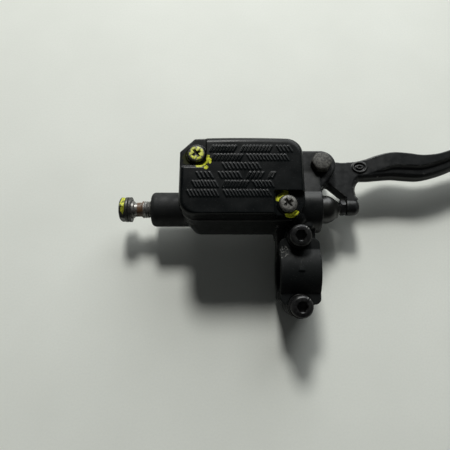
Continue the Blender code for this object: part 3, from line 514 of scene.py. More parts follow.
def softened(made, voxel, smoothing, triangles, rounds=()):
    """One skin with soft cast edges; rounds are cylinders that its points are pulled onto."""
    remeshed(made, voxel)
    for axis, centre, radius, span in rounds:
        pull_round(made, axis, centre, radius, span)
    smooth = made.modifiers.new("soft", "SMOOTH")
    smooth.factor = 0.5
    smooth.iterations = smoothing
    baked(made)
    count = 2 * len(made.data.polygons)
    if count > triangles:
        fewer = made.modifiers.new("fewer", "DECIMATE")
        fewer.ratio = triangles / count
        baked(made)
    made.data.shade_smooth()
    return made


def pull_round(made, axis, centre, radius, span):
    """Puts points that nearly lie on a cylinder exactly on it; axis is 0 for X, 2 for Z."""
    count = len(made.data.vertices)
    points = np.empty(count * 3, np.float32)
    made.data.vertices.foreach_get("co", points)
    points = points.reshape(count, 3)
    across = [index for index in range(3) if index != axis]
    offset = points[:, across] - np.array(centre, np.float32)
    distance = np.hypot(offset[:, 0], offset[:, 1])
    near = np.abs(distance - radius) < ROUND_TOLERANCE
    near &= (points[:, axis] > span[0]) & (points[:, axis] < span[1])
    moved = np.array(centre, np.float32) + offset[near] * (radius / distance[near])[:, None]
    points[np.ix_(np.nonzero(near)[0], across)] = moved
    made.data.vertices.foreach_set("co", points.ravel())


def eased(points, radius, steps=4, closed=False):
    """The same outline with its corners rounded."""
    points = [Vector(point) for point in points]
    if closed:
        triples = zip(points[-1:] + points[:-1], points, points[1:] + points[:1])
        result = []
    else:
        triples = zip(points, points[1:], points[2:])
        result = [points[0]]
    for before, corner, after in triples:
        start = corner + (before - corner).normalized() * min(radius, (before - corner).length * 0.45)
        end = corner + (after - corner).normalized() * min(radius, (after - corner).length * 0.45)
        for step in range(steps + 1):
            share = step / steps
            result.append(start.lerp(corner, share).lerp(corner.lerp(end, share), share))
    return result if closed else result + [points[-1]]


def arc(centre, radius, start, end, steps):
    """Points on an arc, angles in degrees."""
    angles = [math.radians(start + (end - start) * step / steps) for step in range(steps + 1)]
    return [(centre[0] + radius * math.cos(angle), centre[1] + radius * math.sin(angle)) for angle in angles]


def turns(count):
    """That many angles, evenly all the way round."""
    return [2 * math.pi * step / count for step in range(count)]


def rectangle(left, front, right, back):
    return [(left, front), (right, front), (right, back), (left, back)]


def bridged(bm, first, second):
    """Faces between two rings, either of which may be a single point."""
    count = max(len(first), len(second))
    for index in range(count):
        following = (index + 1) % count
        corners = []
        for ring, place in ((first, index), (first, following), (second, following), (second, index)):
            corner = ring[place % len(ring)]
            if corner not in corners:
                corners.append(corner)
        bm.faces.new(corners)


def lofted(name, rings, closed=False):
    """A closed skin over rings of points; a closed loft joins its last ring to its first."""
    bm = bmesh.new()
    made = [[bm.verts.new(point) for point in ring] for ring in rings]
    for first, second in zip(made, made[1:]):
        bridged(bm, first, second)
    if closed:
        bridged(bm, made[-1], made[0])
    else:
        for ring in (made[0], made[-1]):
            if len(ring) > 2:
                bm.faces.new(ring)
    return from_bmesh(bm, name)


def lathe(name, profile, place, steps=ROUND, closed=False):
    """A turned piece: profile holds (along, radius) or (along, radius, shape), where the
    shape caps the ring's radius at each angle, as a hexagon or a thread does."""
    rings = []
    for along, radius, *shape in profile:
        if radius == 0.0:
            rings.append([place @ Vector((0.0, 0.0, along))])
            continue
        ring = []
        for angle in turns(steps):
            reach = min(radius, shape[0](angle)) if shape else radius
            ring.append(place @ Vector((reach * math.cos(angle), reach * math.sin(angle), along)))
        rings.append(ring)
    return lofted(name, rings, closed)


def prism(name, outline, low, high):
    return lofted(name, [[(x, y, z) for x, y in outline] for z in (low, high)])


def hexagon(flats):
    """Caps a ring at a hexagon of that width across its flats."""
    def cap(angle):
        return flats / 2 / math.cos(angle % (math.pi / 3) - math.pi / 6)
    return cap


def cross(length, half_width):
    """Caps a ring at a plus shape, as a cross recess."""
    def cap(angle):
        turn = (angle + math.pi / 4) % (math.pi / 2) - math.pi / 4
        return min(length / math.cos(turn), half_width / max(abs(math.sin(turn)), 0.001))
    return cap


def thread(start, end, radius, pitch, depth):
    """Rings of a helical thread for a lathe's profile, from start to end."""
    count = max(2, round(abs(end - start) / pitch * 8))
    rings = []
    for index in range(count + 1):
        along = start + (end - start) * index / count
        fade = min(1.0, 3.0 * index / count + 0.2, 3.0 * (count - index) / count + 0.2)

        def cap(angle, along=along, fade=fade):
            turn = (along / pitch - angle / (2 * math.pi)) % 1.0
            return radius - fade * depth * abs(2 * turn - 1)
        rings.append((along, radius, cap))
    return rings


def creased(made, angle=38):
    """Smooth shading, sharp only where faces meet at more than that angle."""
    made.data.shade_smooth()
    made.data.set_sharp_from_angle(angle=math.radians(angle))
    return made


def settled(made, look, slot, body, *nodes):
    """Gives a finished piece its material and its body, and hides the CAD nodes it stands for; slot is not
    used.
    """
    made.data.materials.clear()
    made.data.materials.append(look.material)
    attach(made, body)
    if nodes:
        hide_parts(*nodes)
    return made


def turned(name, profile, place, look, slot, body, node, steps=ROUND, closed=False, creases=38):
    """A turned piece, finished."""
    made = creased(lathe(name, profile, place, steps, closed), creases)
    return settled(made, look, slot, body, node)


# ---- reservoir cap ----

CAP_TOP = CAP_HIGH.z - 0.0004
CAP_WALL_TOP = 0.023
CAP_FILLET = (0.0026, 0.0022, 0.0008, 0.0038)
CAP_CHAMFERS = ((0.0046, 0.007), (0.0078, 0.0078))
CAP_BOW = 0.0004
CAP_GROWTH = (0.0003, 0.0005)
CAP_WALL = 0.0036
CAP_DRAFT = 0.00015
CAP_VOXEL = 0.00026
CAP_TRIANGLES = 170000
SIDE_STEPS = 8
CORNER_STEPS = 12
FILLET_STEPS = 8
POCKETS = (
    # screw, which way the pocket opens, how far its walls are from the screw, its ledge
    (1, -1, (0.0052, 0.0068), (0.0000, 0.0015)),
    (2, 1, (0.0063, 0.0068), (0.0009, 0.0000)),
)


def between(start, end, steps):
    """Points from start up to but without end."""
    return [Vector(start).lerp(Vector(end), step / steps) for step in range(steps)]


def cap_outline(left, right, front, back):
    """The cap from above: two round corners, two cut ones, and a slightly bowed back."""
    radius = TUB_CORNER
    (front_x, front_y), (back_x, back_y) = CAP_CHAMFERS
    points = arc((left + radius, front + radius), radius, 180, 270, CORNER_STEPS)[:-1]
    points += between((left + radius, front), (right - front_x, front), SIDE_STEPS)
    points += between((right - front_x, front), (right, front + front_y), CORNER_STEPS)
    points += between((right, front + front_y), (right, back - radius), SIDE_STEPS)
    points += arc((right - radius, back - radius), radius, 0, 90, CORNER_STEPS)[:-1]
    start, end = right - radius, left + back_x
    for x, y in between((start, back), (end, back), SIDE_STEPS):
        share = 2 * (x - end) / (start - end) - 1
        points.append((x, y + CAP_BOW * (1 - share * share)))
    points += between((left + back_x, back), (left, back - back_y), CORNER_STEPS)
    points += between((left, back - back_y), (left, front + radius), SIDE_STEPS)
    return [(point[0], point[1]) for point in points]


def cap_ring(inset, z):
    left, right, front, back = inset
    outline = cap_outline(CAP_LOW.x + left - CAP_GROWTH[0], CAP_HIGH.x - right + CAP_GROWTH[1],
                          CAP_LOW.y + front, CAP_HIGH.y - back)
    return [(x, y, z) for x, y in outline]


def cap_shell():
    """The cap's skin, hollow below, with both screw pockets and a notch in its front edge."""
    rings = [cap_ring((0.0003,) * 4, CAP_LOW.z), cap_ring((0.0,) * 4, CAP_LOW.z + 0.0004)]
    for step in range(FILLET_STEPS + 1):
        angle = math.radians(90 * step / FILLET_STEPS)
        inset = [CAP_DRAFT + width * (1 - math.cos(angle)) for width in CAP_FILLET]
        rings.append(cap_ring(inset, CAP_WALL_TOP + (CAP_TOP - CAP_WALL_TOP) * math.sin(angle)))
    shell = lofted("reservoir_cap_moulding", rings)
    room = rectangle(CAP_LOW.x + CAP_WALL, CAP_LOW.y + CAP_WALL, CAP_HIGH.x - CAP_WALL, CAP_HIGH.y - CAP_WALL)
    tools = [prism("hollow", eased(room, 0.0062, 6, True), CAP_LOW.z - 0.002, POCKET_FLOOR - 0.0026)]
    for number, way, reach, ledge in POCKETS:
        tools += cap_pocket(CAP_SCREWS[number], way, reach, ledge)
    notch = Matrix.Translation((-0.0454, CAP_LOW.y, CAP_LOW.z)) @ Matrix.Rotation(math.radians(-90), 4, "X")
    tools.append(lathe("notch", [(-0.001, 0.0006), (0.0012, 0.0006)], notch, 24))
    return cut(shell, tools)


def cap_pocket(screw, way, reach, ledge):
    """Tools for the corner pocket round a screw, and for the shallow ledge beside it."""
    beyond = 0.03
    for wider, floor in ((Vector((0.0, 0.0)), POCKET_FLOOR), (Vector(ledge), CAP_TOP - 0.0008)):
        inner_x = screw.x - way * (reach[0] + wider.x)
        inner_y = screw.y + way * (reach[1] + wider.y)
        outer_x, outer_y = screw.x + way * beyond, screw.y - way * beyond
        corners = rectangle(inner_x, inner_y, outer_x, outer_y)
        yield prism("pocket", eased(corners, 0.0016, 5, True), floor, CAP_TOP + 0.004)


def screw_collars():
    """A low round collar about each screw's head."""
    foot, side, top = -0.0006, 0.0007, 0.0009
    profile = [(foot, 0.0056), (side, 0.0056), (top, 0.0054), (top, 0.0051), (side, 0.0049), (foot, 0.0049)]
    for screw in CAP_SCREWS.values():
        yield lathe("collar", profile, Matrix.Translation((screw.x, screw.y, POCKET_FLOOR)), 72, True)


LEGEND_TOP = 0.0594
LEGEND_PITCH = 0.00505
LEGEND_HEIGHT = 0.0038
LEGEND_STROKE = 0.00028
LEGEND_LEAN = math.radians(27)
LEGEND_SEED = 5
BARS_PER_MARK = 1.5
LEGEND_ROWS = (
    # left end, right end, marks in each group
    (-0.0458, -0.0030, (5, 6, 3)),
    (-0.0452, -0.0052, (6, 8)),
    (-0.0395, -0.0198, (7,)),
    (-0.0530, -0.0125, (3, 4, 3, 1)),
    (-0.0548, -0.0135, (5, 5, 4)),
    (-0.0574, -0.0150, (6, 9)),
)


def stroke(x, y, length, turn):
    """A short raised bar with round ends."""
    half = length / 2 - LEGEND_STROKE
    outline = arc((half, 0.0), LEGEND_STROKE, -90, 90, 6) + arc((-half, 0.0), LEGEND_STROKE, 90, 270, 6)
    place = Matrix.Translation((x, y, 0.0)) @ Matrix.Rotation(turn, 4, "Z")
    points = [place @ Vector((across, along, 0.0)) for across, along in outline]
    return prism("stroke", [point.xy for point in points], CAP_TOP - 0.001, CAP_HIGH.z)


def raised_legend():
    """Rows of plain raised bars, each group leaning one way: a moulded pattern that says nothing."""
    dice = random.Random(LEGEND_SEED)
    for row, (left, right, groups) in enumerate(LEGEND_ROWS):
        y = LEGEND_TOP - row * LEGEND_PITCH
        pitch = (right - left) / (sum(groups) + len(groups) - 1)
        x = left
        for group in groups:
            turn = math.radians(90) + dice.choice((LEGEND_LEAN, -LEGEND_LEAN))
            bars = round(group * BARS_PER_MARK)
            for bar in range(bars):
                yield stroke(x + pitch * group * (bar + 0.5) / bars, y, LEGEND_HEIGHT * 1.05, turn)
            x += pitch * (group + 1)


def reservoir_cap(look):
    cap = joined(cap_shell(), [*screw_collars(), *raised_legend()])
    softened(cap, CAP_VOXEL, 2, CAP_TRIANGLES)
    settled(cap, look, "black_plastic", "body", "reservoir_cap")


def cap_screw(number, look):
    """A pan head with a cross recess, and its threaded shank."""
    screw = CAP_SCREWS[number]
    name = "cap_screw_%d" % number
    low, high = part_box(name)
    floor = POCKET_FLOOR + GAP
    top = high.z
    place = Matrix.Translation((screw.x, screw.y, 0.0)) @ Matrix.Rotation(math.radians(33), 4, "Z")
    radius, shank = 0.0046, 0.002
    profile = [
        (top - 0.0017, 0.0), (top - 0.0016, 0.0013, cross(0.001, 0.0004)),
        (top - 0.0004, 0.003, cross(0.0023, 0.0007)), (top - 0.0001, 0.0032, cross(0.0026, 0.0008)),
        (top, 0.0033, cross(0.0027, 0.0009)), (top, 0.0031), (top - 0.00006, 0.0036), (top - 0.0003, 0.0042),
        (top - 0.0006, 0.00448), (top - 0.001, radius), (floor + 0.0002, radius), (floor, radius - 0.0002),
        (floor, shank),
    ]
    profile += thread(floor - 0.001, low.z + 0.001, shank, 0.0007, 0.0003)
    profile += [(low.z, shank * 0.5), (low.z, 0.0)]
    turned(name + "_pan_head", profile, place, look, "worn_steel", "body", name, FINE)


# ---- casting and clamp ----

CASTING_VOXEL = 0.00045
COVER_VOXEL = 0.00032
COVER_TRIANGLES = 120000
TUB_DRAW = (0.00315, 0.002, 0.0, 0.0027)
TUB_DRAW_HEIGHT = 0.022
TUB_INSET = 0.0006
TUB_INSET_FRONT = 0.0002
TUB_FOOT = -0.0035
RIM_PROUD = 0.0007
RIM_DEPTH = 0.0014
CLAMP_ROUNDS = (
    # axis, centre, radius, from and to along the axis
    (0, (0.0, 0.0), BAR_RADIUS, (-0.01, 0.0108)),
    (0, (0.0, 0.0), CLAMP_RADIUS, (-0.0098, 0.0106)),
)


def tub_ring(outset, z):
    """The reservoir's outline at a height: it draws in towards its floor."""
    share = (TUB_TOP - z) / TUB_DRAW_HEIGHT
    left, right, front, back = (draw * share for draw in TUB_DRAW)
    low = Vector((CAP_LOW.x + TUB_INSET + left - outset, CAP_LOW.y + TUB_INSET_FRONT + front - outset))
    high = Vector((CAP_HIGH.x - TUB_INSET - right + outset, CAP_HIGH.y - TUB_INSET - back + outset))
    radius = TUB_CORNER + outset
    centres = rectangle(low.x + radius, low.y + radius, high.x - radius, high.y - radius)
    ring = []
    for centre, start in zip(centres, (180, 270, 0, 90)):
        ring += [(x, y, z) for x, y in arc(centre, radius, start, start + 90, 16)]
    return ring


def tub_skin():
    """A thin outer skin for the reservoir, with truly round corners and a proud rim."""
    inner = -0.001
    rim = TUB_TOP - RIM_DEPTH
    levels = ((0.0, TUB_FOOT), (0.0, rim - 0.0004), (RIM_PROUD, rim), (RIM_PROUD, TUB_TOP), (inner, TUB_TOP),
              (inner, TUB_FOOT))
    return lofted("tub_skin", [tub_ring(outset, z) for outset, z in levels], True)


def boss_fillet():
    """The slope that blends the flat of the ears into the cylinder's boss."""
    section = [(0.0545, 0.01), (0.0545, 0.0109), (0.0393, 0.0121), (0.0385, 0.01)]
    return lofted("boss_fillet", [[(x, y, z) for y, z in section] for x in (-0.003, 0.014)])


def casting(look):
    """The CAD casting under one soft skin, with the details that a foundry pattern has."""
    made = copied("master_cylinder_body", "master_cylinder_casting")
    corner = Vector((CAP_LOW.x + TUB_INSET, CAP_HIGH.y - TUB_INSET))
    leg = CAP_CHAMFERS[1][0] - TUB_INSET
    beyond = 0.01
    chamfer = [(corner.x - beyond, corner.y - leg - beyond), (corner.x + leg + beyond, corner.y + beyond),
               (corner.x - beyond, corner.y + beyond)]
    joined(made, [tub_skin(), boss_fillet()])
    remeshed(made, CASTING_VOXEL)
    cut(made, [prism("chamfer", chamfer, -0.01, TUB_TOP + 0.005)])
    rounds = (
        (0, (CYL_Y, 0.0), BOSS_RADIUS, (0.002, BOSS_END - 0.0005)),
        (0, (CYL_Y, 0.0), OUTLET_RADIUS, (-0.077, -0.06)),
        *CLAMP_ROUNDS,
        (2, (PIVOT.x, PIVOT.y), EAR_RADIUS, (-0.0102, 0.0106)),
    )
    softened(made, CASTING_VOXEL, 4, MOST_TRIANGLES, rounds)
    settled(made, look, "black_casting", "body", "master_cylinder_body")


def clamp_cover(look):
    """The cover half of the clamp, with a small raised mark that shows which way is up."""
    made = copied("clamp_cover", "clamp_cover_casting")
    arrow = [(-0.0012, -0.0034), (0.002, -0.0034), (0.0005, 0.0016)]
    joined(made, [prism("mark", arrow, 0.014, CLAMP_RADIUS + 0.0003)])
    softened(made, COVER_VOXEL, 3, COVER_TRIANGLES, CLAMP_ROUNDS)
    settled(made, look, "black_casting", "body", "clamp_cover")


def clamp_bolt(name, along, look):
    """A socket screw with a plain washer under its knurled head."""
    place = CLAMP_LEAN @ Matrix.Translation((0.0, along, 0.0))
    seat = LUG_TOP + GAP
    head = seat + 0.0012
    top = head + 0.006
    radius, collar, shank, key = 0.0056, 0.0062, 0.003, 0.005

    def knurl(angle):
        return radius - 0.00009 * (1 + math.cos(angle * 36))

    profile = [
        (top - 0.0034, 0.0), (top - 0.003, 0.004, hexagon(key)), (top - 0.0004, 0.004, hexagon(key)),
        (top, key * 0.6), (top, radius - 0.0011), (top - 0.0001, radius - 0.0009),
        (top - 0.0008, radius - 0.0001), (top - 0.001, radius), (top - 0.0012, radius, knurl),
        (head + 0.0006, radius, knurl), (head + 0.0004, radius), (head, radius - 0.0001),
        (head, collar - 0.0002), (head - 0.0002, collar), (seat + 0.0002, collar), (seat, collar - 0.0002),
        (seat, shank),
    ]
    profile += thread(seat - 0.006, seat - 0.02, shank, 0.001, 0.0004)
    profile += [(seat - 0.021, shank - 0.0006), (seat - 0.021, 0.0)]
    node = "clamp_bolt_" + name
    turned("clamp_socket_screw_" + name, profile, place, look, "black_steel", "body", node, FINE)


# ---- outlet ----

def banjo_bolt(look):
    """The banjo bolt: a domed hexagon head, a necked waist and a real helical thread."""
    low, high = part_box("banjo_bolt")
    head, shoulder, start, tip = low.x, -0.0938, -0.0841, high.x
    radius, waist, flats = 0.0048, 0.004, 0.012
    six = hexagon(flats)
    profile = [
        (head, 0.0), (head + 0.0001, 0.002), (head + 0.0004, 0.0042), (head + 0.0008, 0.0056, six),
        (head + 0.0012, 0.0063, six), (head + 0.0017, 0.007, six), (shoulder - 0.0006, 0.007, six),
        (shoulder - 0.0002, 0.0066, six), (shoulder, 0.0062), (shoulder, radius), (-0.089, radius),
        (-0.0885, waist), (-0.087, waist - 0.00005), (-0.085, waist), (start - 0.0003, radius - 0.0007),
    ]
    profile += thread(start, tip - 0.001, radius, 0.00125, 0.00062)
    profile += [(tip, radius - 0.001), (tip, 0.0018), (tip - 0.012, 0.0018), (tip - 0.012, 0.0)]
    made = lathe("banjo_bolt_threaded", profile, BORE_AXIS, FINE)
    across = Matrix.Translation((-0.0876, CYL_Y, 0.0)) @ Matrix.Rotation(math.radians(90), 4, "X")
    cut(made, [lathe("hole", [(-0.008, 0.0011), (0.008, 0.0011)], across, 24)])
    creased(made)
    settled(made, look, "rusty_steel", "body", "banjo_bolt")


def crush_washer(number, look):
    name = "crush_washer_%d" % number
    low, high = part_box(name)
    outer, inner, soft = 0.007, 0.0051, 0.0003
    profile = eased(rectangle(low.x, inner, high.x, outer), soft, 4, True)
    turned(name + "_rounded", profile, BORE_AXIS, look, "worn_steel", "body", name, closed=True)


# ---- bore's open end ----

def dust_boot(look):
    """A moulded boot: a cuff in the boss, a dome and a lip round the piston's rod."""
    low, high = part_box("dust_boot")
    cuff = [(low.x, 0.0066), (low.x, 0.0078), (low.x + 0.0012, 0.008), (0.0172, 0.008)]
    dome = [(0.0196, 0.00775), (0.0216, 0.0069), (0.0232, 0.0056)]
    lip = [(high.x - 0.0006, 0.005), (high.x, 0.0047), (high.x, 0.0042), (high.x - 0.001, 0.0042)]
    inside = [(0.0222, 0.0052), (0.0172, 0.0066)]
    profile = eased(cuff + dome + lip + inside, 0.0012, 5, True)
    made = turned("dust_boot_moulded", profile, BORE_AXIS, look, "boot_rubber", "body", "dust_boot",
                  closed=True, creases=60)
    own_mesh(made)


def return_spring(look):
    """The coil behind the piston, wound as one round wire."""
    low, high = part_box("piston_spring")
    wire, coils, per_coil, sides = 0.0006, 7, 28, 10
    radius = (high.y - low.y) / 2 - wire
    start, end = low.x + wire, high.x - wire
    rings = []
    for step in range(coils * per_coil + 1):
        angle = 2 * math.pi * step / per_coil
        out = Vector((0.0, math.cos(angle), math.sin(angle)))
        centre = Vector((start + (end - start) * step / (coils * per_coil), CYL_Y, 0.0)) + out * radius
        rings.append([
            centre + out * wire * math.cos(turn) + Vector((1.0, 0.0, 0.0)) * wire * math.sin(turn)
            for turn in turns(sides)
        ])
    made = creased(lofted("piston_return_spring", rings), 50)
    settled(made, look, "spring_steel", "body", "piston_spring")
    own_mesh(made)


# ---- lever and pivot ----

LEVER_VOXEL = 0.00027


def spline(stations, step):
    """Stations a step apart along a smooth curve through the given ones."""
    result = []
    for index in range(len(stations) - 1):
        around = [stations[min(max(index + shift, 0), len(stations) - 1)] for shift in (-1, 0, 1, 2)]
        before, first, second, after = (np.array(station) for station in around)
        bend = 2 * before - 5 * first + 4 * second - after
        twist = 3 * first - before - 3 * second + after
        count = max(1, round((second[0] - first[0]) / step))
        for part in range(count):
            t = part / count
            result.append(0.5 * (2 * first + (second - before) * t + bend * t ** 2 + twist * t ** 3))
    result.append(np.array(stations[-1]))
    return result


def blade_section(width, height, edge):
    """Across and up: a flat raised top and underside, and a shelf that bulges rearwards."""
    half_w, half_h = width / 2, height / 2
    shelf = min(BLADE_SHELF, half_h - 0.0001)
    step = edge * half_w
    foot = step - 0.0008 * (half_h - shelf) / 0.0024
    top = [(half_w, half_h * 0.3), (half_w, half_h * 0.74), (half_w * 0.9, half_h), (step, half_h * 0.955)]
    rear = [(-half_w * 0.72, shelf * 0.94), (-half_w * 0.94, shelf * 0.58), (-half_w, shelf * 0.1)]
    upper = [*top, (foot, shelf), *rear]
    lower = [(across, -up) for across, up in reversed(upper)]
    return eased(upper + lower, 0.0004, 3, True)


def blade():
    rings = []
    stations = spline(BLADE_STATIONS, BLADE_STEP)
    for index, (x, y, width, height, edge) in enumerate(stations):
        before, after = stations[max(index - 1, 0)], stations[min(index + 1, len(stations) - 1)]
        lean = math.atan2(after[1] - before[1], after[0] - before[0])
        rings.append([
            Vector((x - math.sin(lean) * across, y + math.cos(lean) * across, up))
            for across, up in blade_section(width, height, edge)
        ])
    return lofted("brake_lever_forging", rings)


def plate_outline():
    """The plate from above, and 1 for each point where its side bulges: hub, arm, nose, root."""
    hub = arc((PIVOT.x, PIVOT.y), 0.008, 40, 265, 28)
    left = [(0.0205, 0.0497), (0.0298, 0.0412), (0.03, 0.0392), (0.0352, 0.0392)]
    right = [(0.035, 0.0405), (0.0336, 0.0425), (0.0331, 0.0462)]
    right += arc((0.044, 0.0462), 0.0109, 172, 92, 12)
    root = [(0.048, 0.057), (0.048, 0.0644), (0.0417, 0.064), (0.037, 0.0634), (0.029, 0.0627)]
    points = [Vector(point) for point in hub + left + right + root]
    weights = [0.0] * len(hub + left) + [1.0] * len(right) + [0.0] * len(root)
    return points, weights


def lever_plate():
    """The flat plate with a rounded, bulging side from the nose up to the blade."""
    points, weights = plate_outline()
    count = len(points)
    outward = []
    for index in range(count):
        along = (points[(index + 1) % count] - points[index - 1]).normalized()
        outward.append(Vector((along.y, -along.x)))
    rings = []
    bulge, levels = 0.0025, 6
    for level in range(-levels, levels + 1):
        swell = bulge * (1 - (level / levels) ** 2)
        z = PLATE_HALF * level / levels
        rings.append([
            (*(point + normal * swell * weight), z) for point, normal, weight in zip(points, outward, weights)
        ])
    return lofted("lever_plate", rings)


def lever_nose():
    """The domed end that holds the adjuster screw."""
    low, high = 0.0296, 0.0373
    radius, dome = 0.0047, 0.0034
    round_end = [(high - dome * (1 - math.cos(turn)), radius * math.sin(turn))
                 for turn in (math.radians(9 * step) for step in range(1, 11))]
    return lathe("nose", [(high, 0.0), *round_end, (low, radius), (low, 0.0)], ADJUSTER_AXIS, 64)


def lever_ball():
    bm = bmesh.new()
    bmesh.ops.create_uvsphere(bm, u_segments=64, v_segments=40, radius=BALL_RADIUS)
    bmesh.ops.translate(bm, vec=BALL, verts=bm.verts)
    return from_bmesh(bm, "ball")


PAD_X, PAD_Y = 0.0384, 0.0596
PAD_RIMS = (
    # half of its length and width, its wall, its top
    ((0.0041, 0.0033), 0.0007, 0.0053),
    ((0.0019, 0.0011), 0.0005, 0.0052),
)


def lever_pad():
    """A plain oval raised rim with a smaller oval inside it, on the lever's root."""
    foot = PLATE_HALF - 0.0005
    outline = [Vector((math.cos(turn), math.sin(turn))) for turn in turns(48)]
    for halves, wall, top in PAD_RIMS:
        reach = Vector(halves)
        rings = []
        for inset, z in ((0.0, foot), (0.0, top), (wall, top), (wall, foot)):
            width, depth = reach.x - inset, reach.y - inset
            rings.append([(PAD_X + point.x * width, PAD_Y + point.y * depth, z) for point in outline])
        yield lofted("pad", rings, True)


def brake_lever(look):
    made = joined(blade(), [lever_plate(), lever_nose(), lever_ball(), *lever_pad()])
    remeshed(made, LEVER_VOXEL)
    hub_hole = lathe("hub_hole", [(-0.02, 0.0045), (0.02, 0.0045)], Matrix.Translation(PIVOT), 64)
    screw_hole = lathe("screw_hole", [(0.02, 0.0028), (0.045, 0.0028)], ADJUSTER_AXIS, 48)
    cut(made, [hub_hole, screw_hole])
    softened(made, LEVER_VOXEL, 1, MOST_TRIANGLES)
    settled(made, look, "black_lever", "lever", "brake_lever")


def adjuster(look):
    """The threaded adjuster with its socket, and the nut that locks it."""
    low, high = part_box("adjuster_screw")
    radius, key = 0.0025, 0.0025
    profile = [(low.x, 0.0), (low.x + 0.0001, 0.001), (low.x + 0.0006, 0.0019)]
    profile.append((low.x + 0.0016, radius - 0.0003))
    profile += thread(low.x + 0.002, high.x - 0.0006, radius, 0.0008, 0.0003)
    profile += [(high.x, radius - 0.0004), (high.x, 0.0016), (high.x - 0.0003, 0.002, hexagon(key)),
                (high.x - 0.0025, 0.002, hexagon(key)), (high.x - 0.0025, 0.0)]
    turned("adjuster_screw_threaded", profile, ADJUSTER_AXIS, look, "black_steel", "lever",
           "adjuster_screw")

    low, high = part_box("adjuster_lock_nut")
    six = hexagon(0.008)
    profile = [
        (low.x, 0.0028), (low.x, 0.0038), (low.x + 0.0003, 0.0042, six), (low.x + 0.0007, 0.0047, six),
        (high.x - 0.0007, 0.0047, six), (high.x - 0.0003, 0.0042, six), (high.x, 0.0038), (high.x, 0.0028),
    ]
    turned("adjuster_lock_nut_chamfered", profile, ADJUSTER_AXIS, look, "black_steel", "lever",
           "adjuster_lock_nut", closed=True)


def pivot_fasteners(look):
    """The pivot bolt with its chamfered hexagon head, and the nut below."""
    low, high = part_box("pivot_bolt")
    place = Matrix.Translation((PIVOT.x, PIVOT.y, 0.0))
    six = hexagon(0.01)
    seat, shank = 0.0113, 0.003
    profile = [
        (high.z, 0.0), (high.z, 0.0044), (high.z - 0.0001, 0.0047), (high.z - 0.0004, 0.0052, six),
        (high.z - 0.0008, 0.0056, six), (high.z - 0.0012, 0.006, six), (seat + 0.0003, 0.006, six),
        (seat + 0.0001, 0.0056, six), (seat, 0.0052), (seat, shank), (-0.008, shank),
    ]
    profile += thread(-0.01, low.z + 0.0005, shank, 0.001, 0.0004)
    profile += [(low.z, shank - 0.0006), (low.z, 0.0)]
    turned("pivot_bolt_weathered", profile, place, look, "worn_steel", "body", "pivot_bolt")

    low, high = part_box("pivot_nut")
    profile = [(low.z, 0.0033), (low.z, 0.0046), (low.z + 0.0005, 0.0052, six), (low.z + 0.001, 0.006, six),
               (high.z - 0.0003, 0.006, six), (high.z, 0.0054, six), (high.z, 0.0033)]
    turned("pivot_nut_chamfered", profile, place, look, "worn_steel", "body", "pivot_nut", closed=True)


# ---- the CAD pieces that stay, light, floor and camera ----

def finish_cad_nodes():
    """The inner pieces keep their CAD shape and get their own materials."""
    metal = turned_metal("machined_aluminium", (0.42, 0.42, 0.41), (0.66, 0.66, 0.65), 0.3)
    bronze = turned_metal("sintered_bronze", (0.36, 0.23, 0.1), (0.56, 0.38, 0.18), 0.36)
    steel = turned_metal("stamped_steel", (0.36, 0.36, 0.35), (0.55, 0.55, 0.54), 0.32)
    seal = rubber("seal_rubber", (0.012, 0.012, 0.012), (0.03, 0.03, 0.029))
    white = white_plastic()
    looks = {
        "piston": metal, "pivot_bush": bronze, "stop_washer": steel, "circlip": steel, "primary_cup": seal,
        "secondary_cup": seal, "diaphragm": seal, "diaphragm_plate": white, "splash_guard": white,
    }
    for node, look in looks.items():
        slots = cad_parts[node].material_slots
        if not slots:
            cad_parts[node].data.materials.append(look.material)
        for slot in slots:
            slot.material = look.material


def floor():
    """A pale bench just under the lowest point of the CAD."""
    half, below = 1.5, 0.0002
    bm = bmesh.new()
    bmesh.ops.create_grid(bm, x_segments=8, y_segments=8, size=half)
    made = from_bmesh(bm, "bench_top")
    made.location = (0.0, 0.0, CAD_BOUNDS[0].z - below)
    made.data.materials.append(bench_paper().material)
    if made.data.polygons[0].normal.z < 0:
        made.data.flip_normals()


def area_light(name, place, target, size, power, colour):
    lamp = bpy.data.lights.new(name, "AREA")
    lamp.shape = "DISK"
    lamp.size = size
    lamp.energy = power
    lamp.color = colour
    made = adopt(lamp, name)
    made.location = place
    made.rotation_euler = (Vector(target) - Vector(place)).to_track_quat("-Z", "Y").to_euler()


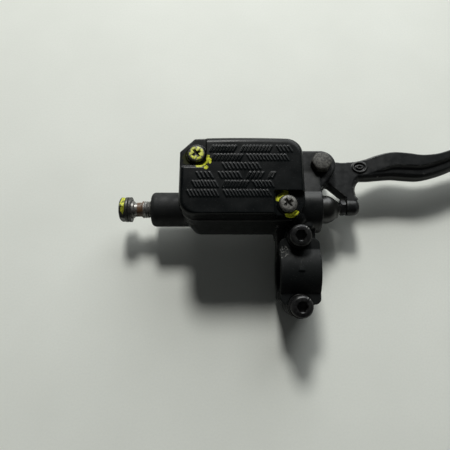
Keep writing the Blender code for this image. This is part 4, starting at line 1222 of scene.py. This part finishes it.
def light():
    aim = (-0.03, 0.03, 0.0)
    area_light("key", (-0.13, 1.1, 1.04), aim, 0.34, 15.5, (1.0, 1.0, 0.97))
    area_light("soft_panel", (0.6, 2.00, 0.95), aim, 2.0, 38.0, (0.97, 1.0, 1.0))
    world = bpy.data.worlds.new("studio")
    world.use_nodes = True
    background = world.node_tree.nodes["Background"]
    background.inputs["Color"].default_value = (0.97, 1.0, 1.0, 1.0)
    background.inputs["Strength"].default_value = 0.045
    bpy.context.scene.world = world
    bpy.context.scene.view_settings.view_transform = "Standard"


def camera():
    """The view from above, leaning back a little, that the object is known by."""
    tilt, distance = math.radians(19), 0.25
    target = Vector((-0.0382, 0.0264, 0.0))
    lens = bpy.data.cameras.new("view")
    lens.sensor_width = 36.0
    lens.lens = 36.0
    lens.clip_start = 0.01
    made = adopt(lens, "view")
    made.location = target - Vector((0.0, math.sin(tilt), -math.cos(tilt))) * distance
    made.rotation_euler = (tilt, 0.0, 0.0)
    bpy.context.scene.camera = made


camera()
light()
floor()
reservoir_cap(cap_plastic())
cap_screw(1, painted_screw("cap_screw_painted", 1, 0.38))
cap_screw(2, painted_screw("cap_screw_bare", 2, 0.74))
casting(casting_paint())
clamp_cover(clamp_paint())
OXIDE = black_oxide()
for bolt_name, bolt_side in (("upper", 1.0), ("lower", -1.0)):
    clamp_bolt(bolt_name, bolt_side * CLAMP_BOLT_OFFSET, OXIDE)
banjo_bolt(banjo_steel())
WASHER_METAL = mottled_metal("washer_metal", (0.018, 0.018, 0.017), (0.08, 0.078, 0.072), 0.42, 0.5, 800.0)
for washer_number in (1, 2):
    crush_washer(washer_number, WASHER_METAL)
dust_boot(rubber("boot_rubber", (0.005, 0.0052, 0.0044), (0.011, 0.0113, 0.0096), 0.33))
return_spring(turned_metal("spring_wire", (0.4, 0.4, 0.39), (0.6, 0.6, 0.59), 0.3))
brake_lever(lever_paint())
adjuster(OXIDE)
ZINC_DARK, ZINC_LIGHT = (0.009, 0.0085, 0.007), (0.072, 0.07, 0.06)
pivot_fasteners(mottled_metal("weathered_zinc", ZINC_DARK, ZINC_LIGHT, 0.62, 0.1, 760.0))
finish_cad_nodes()
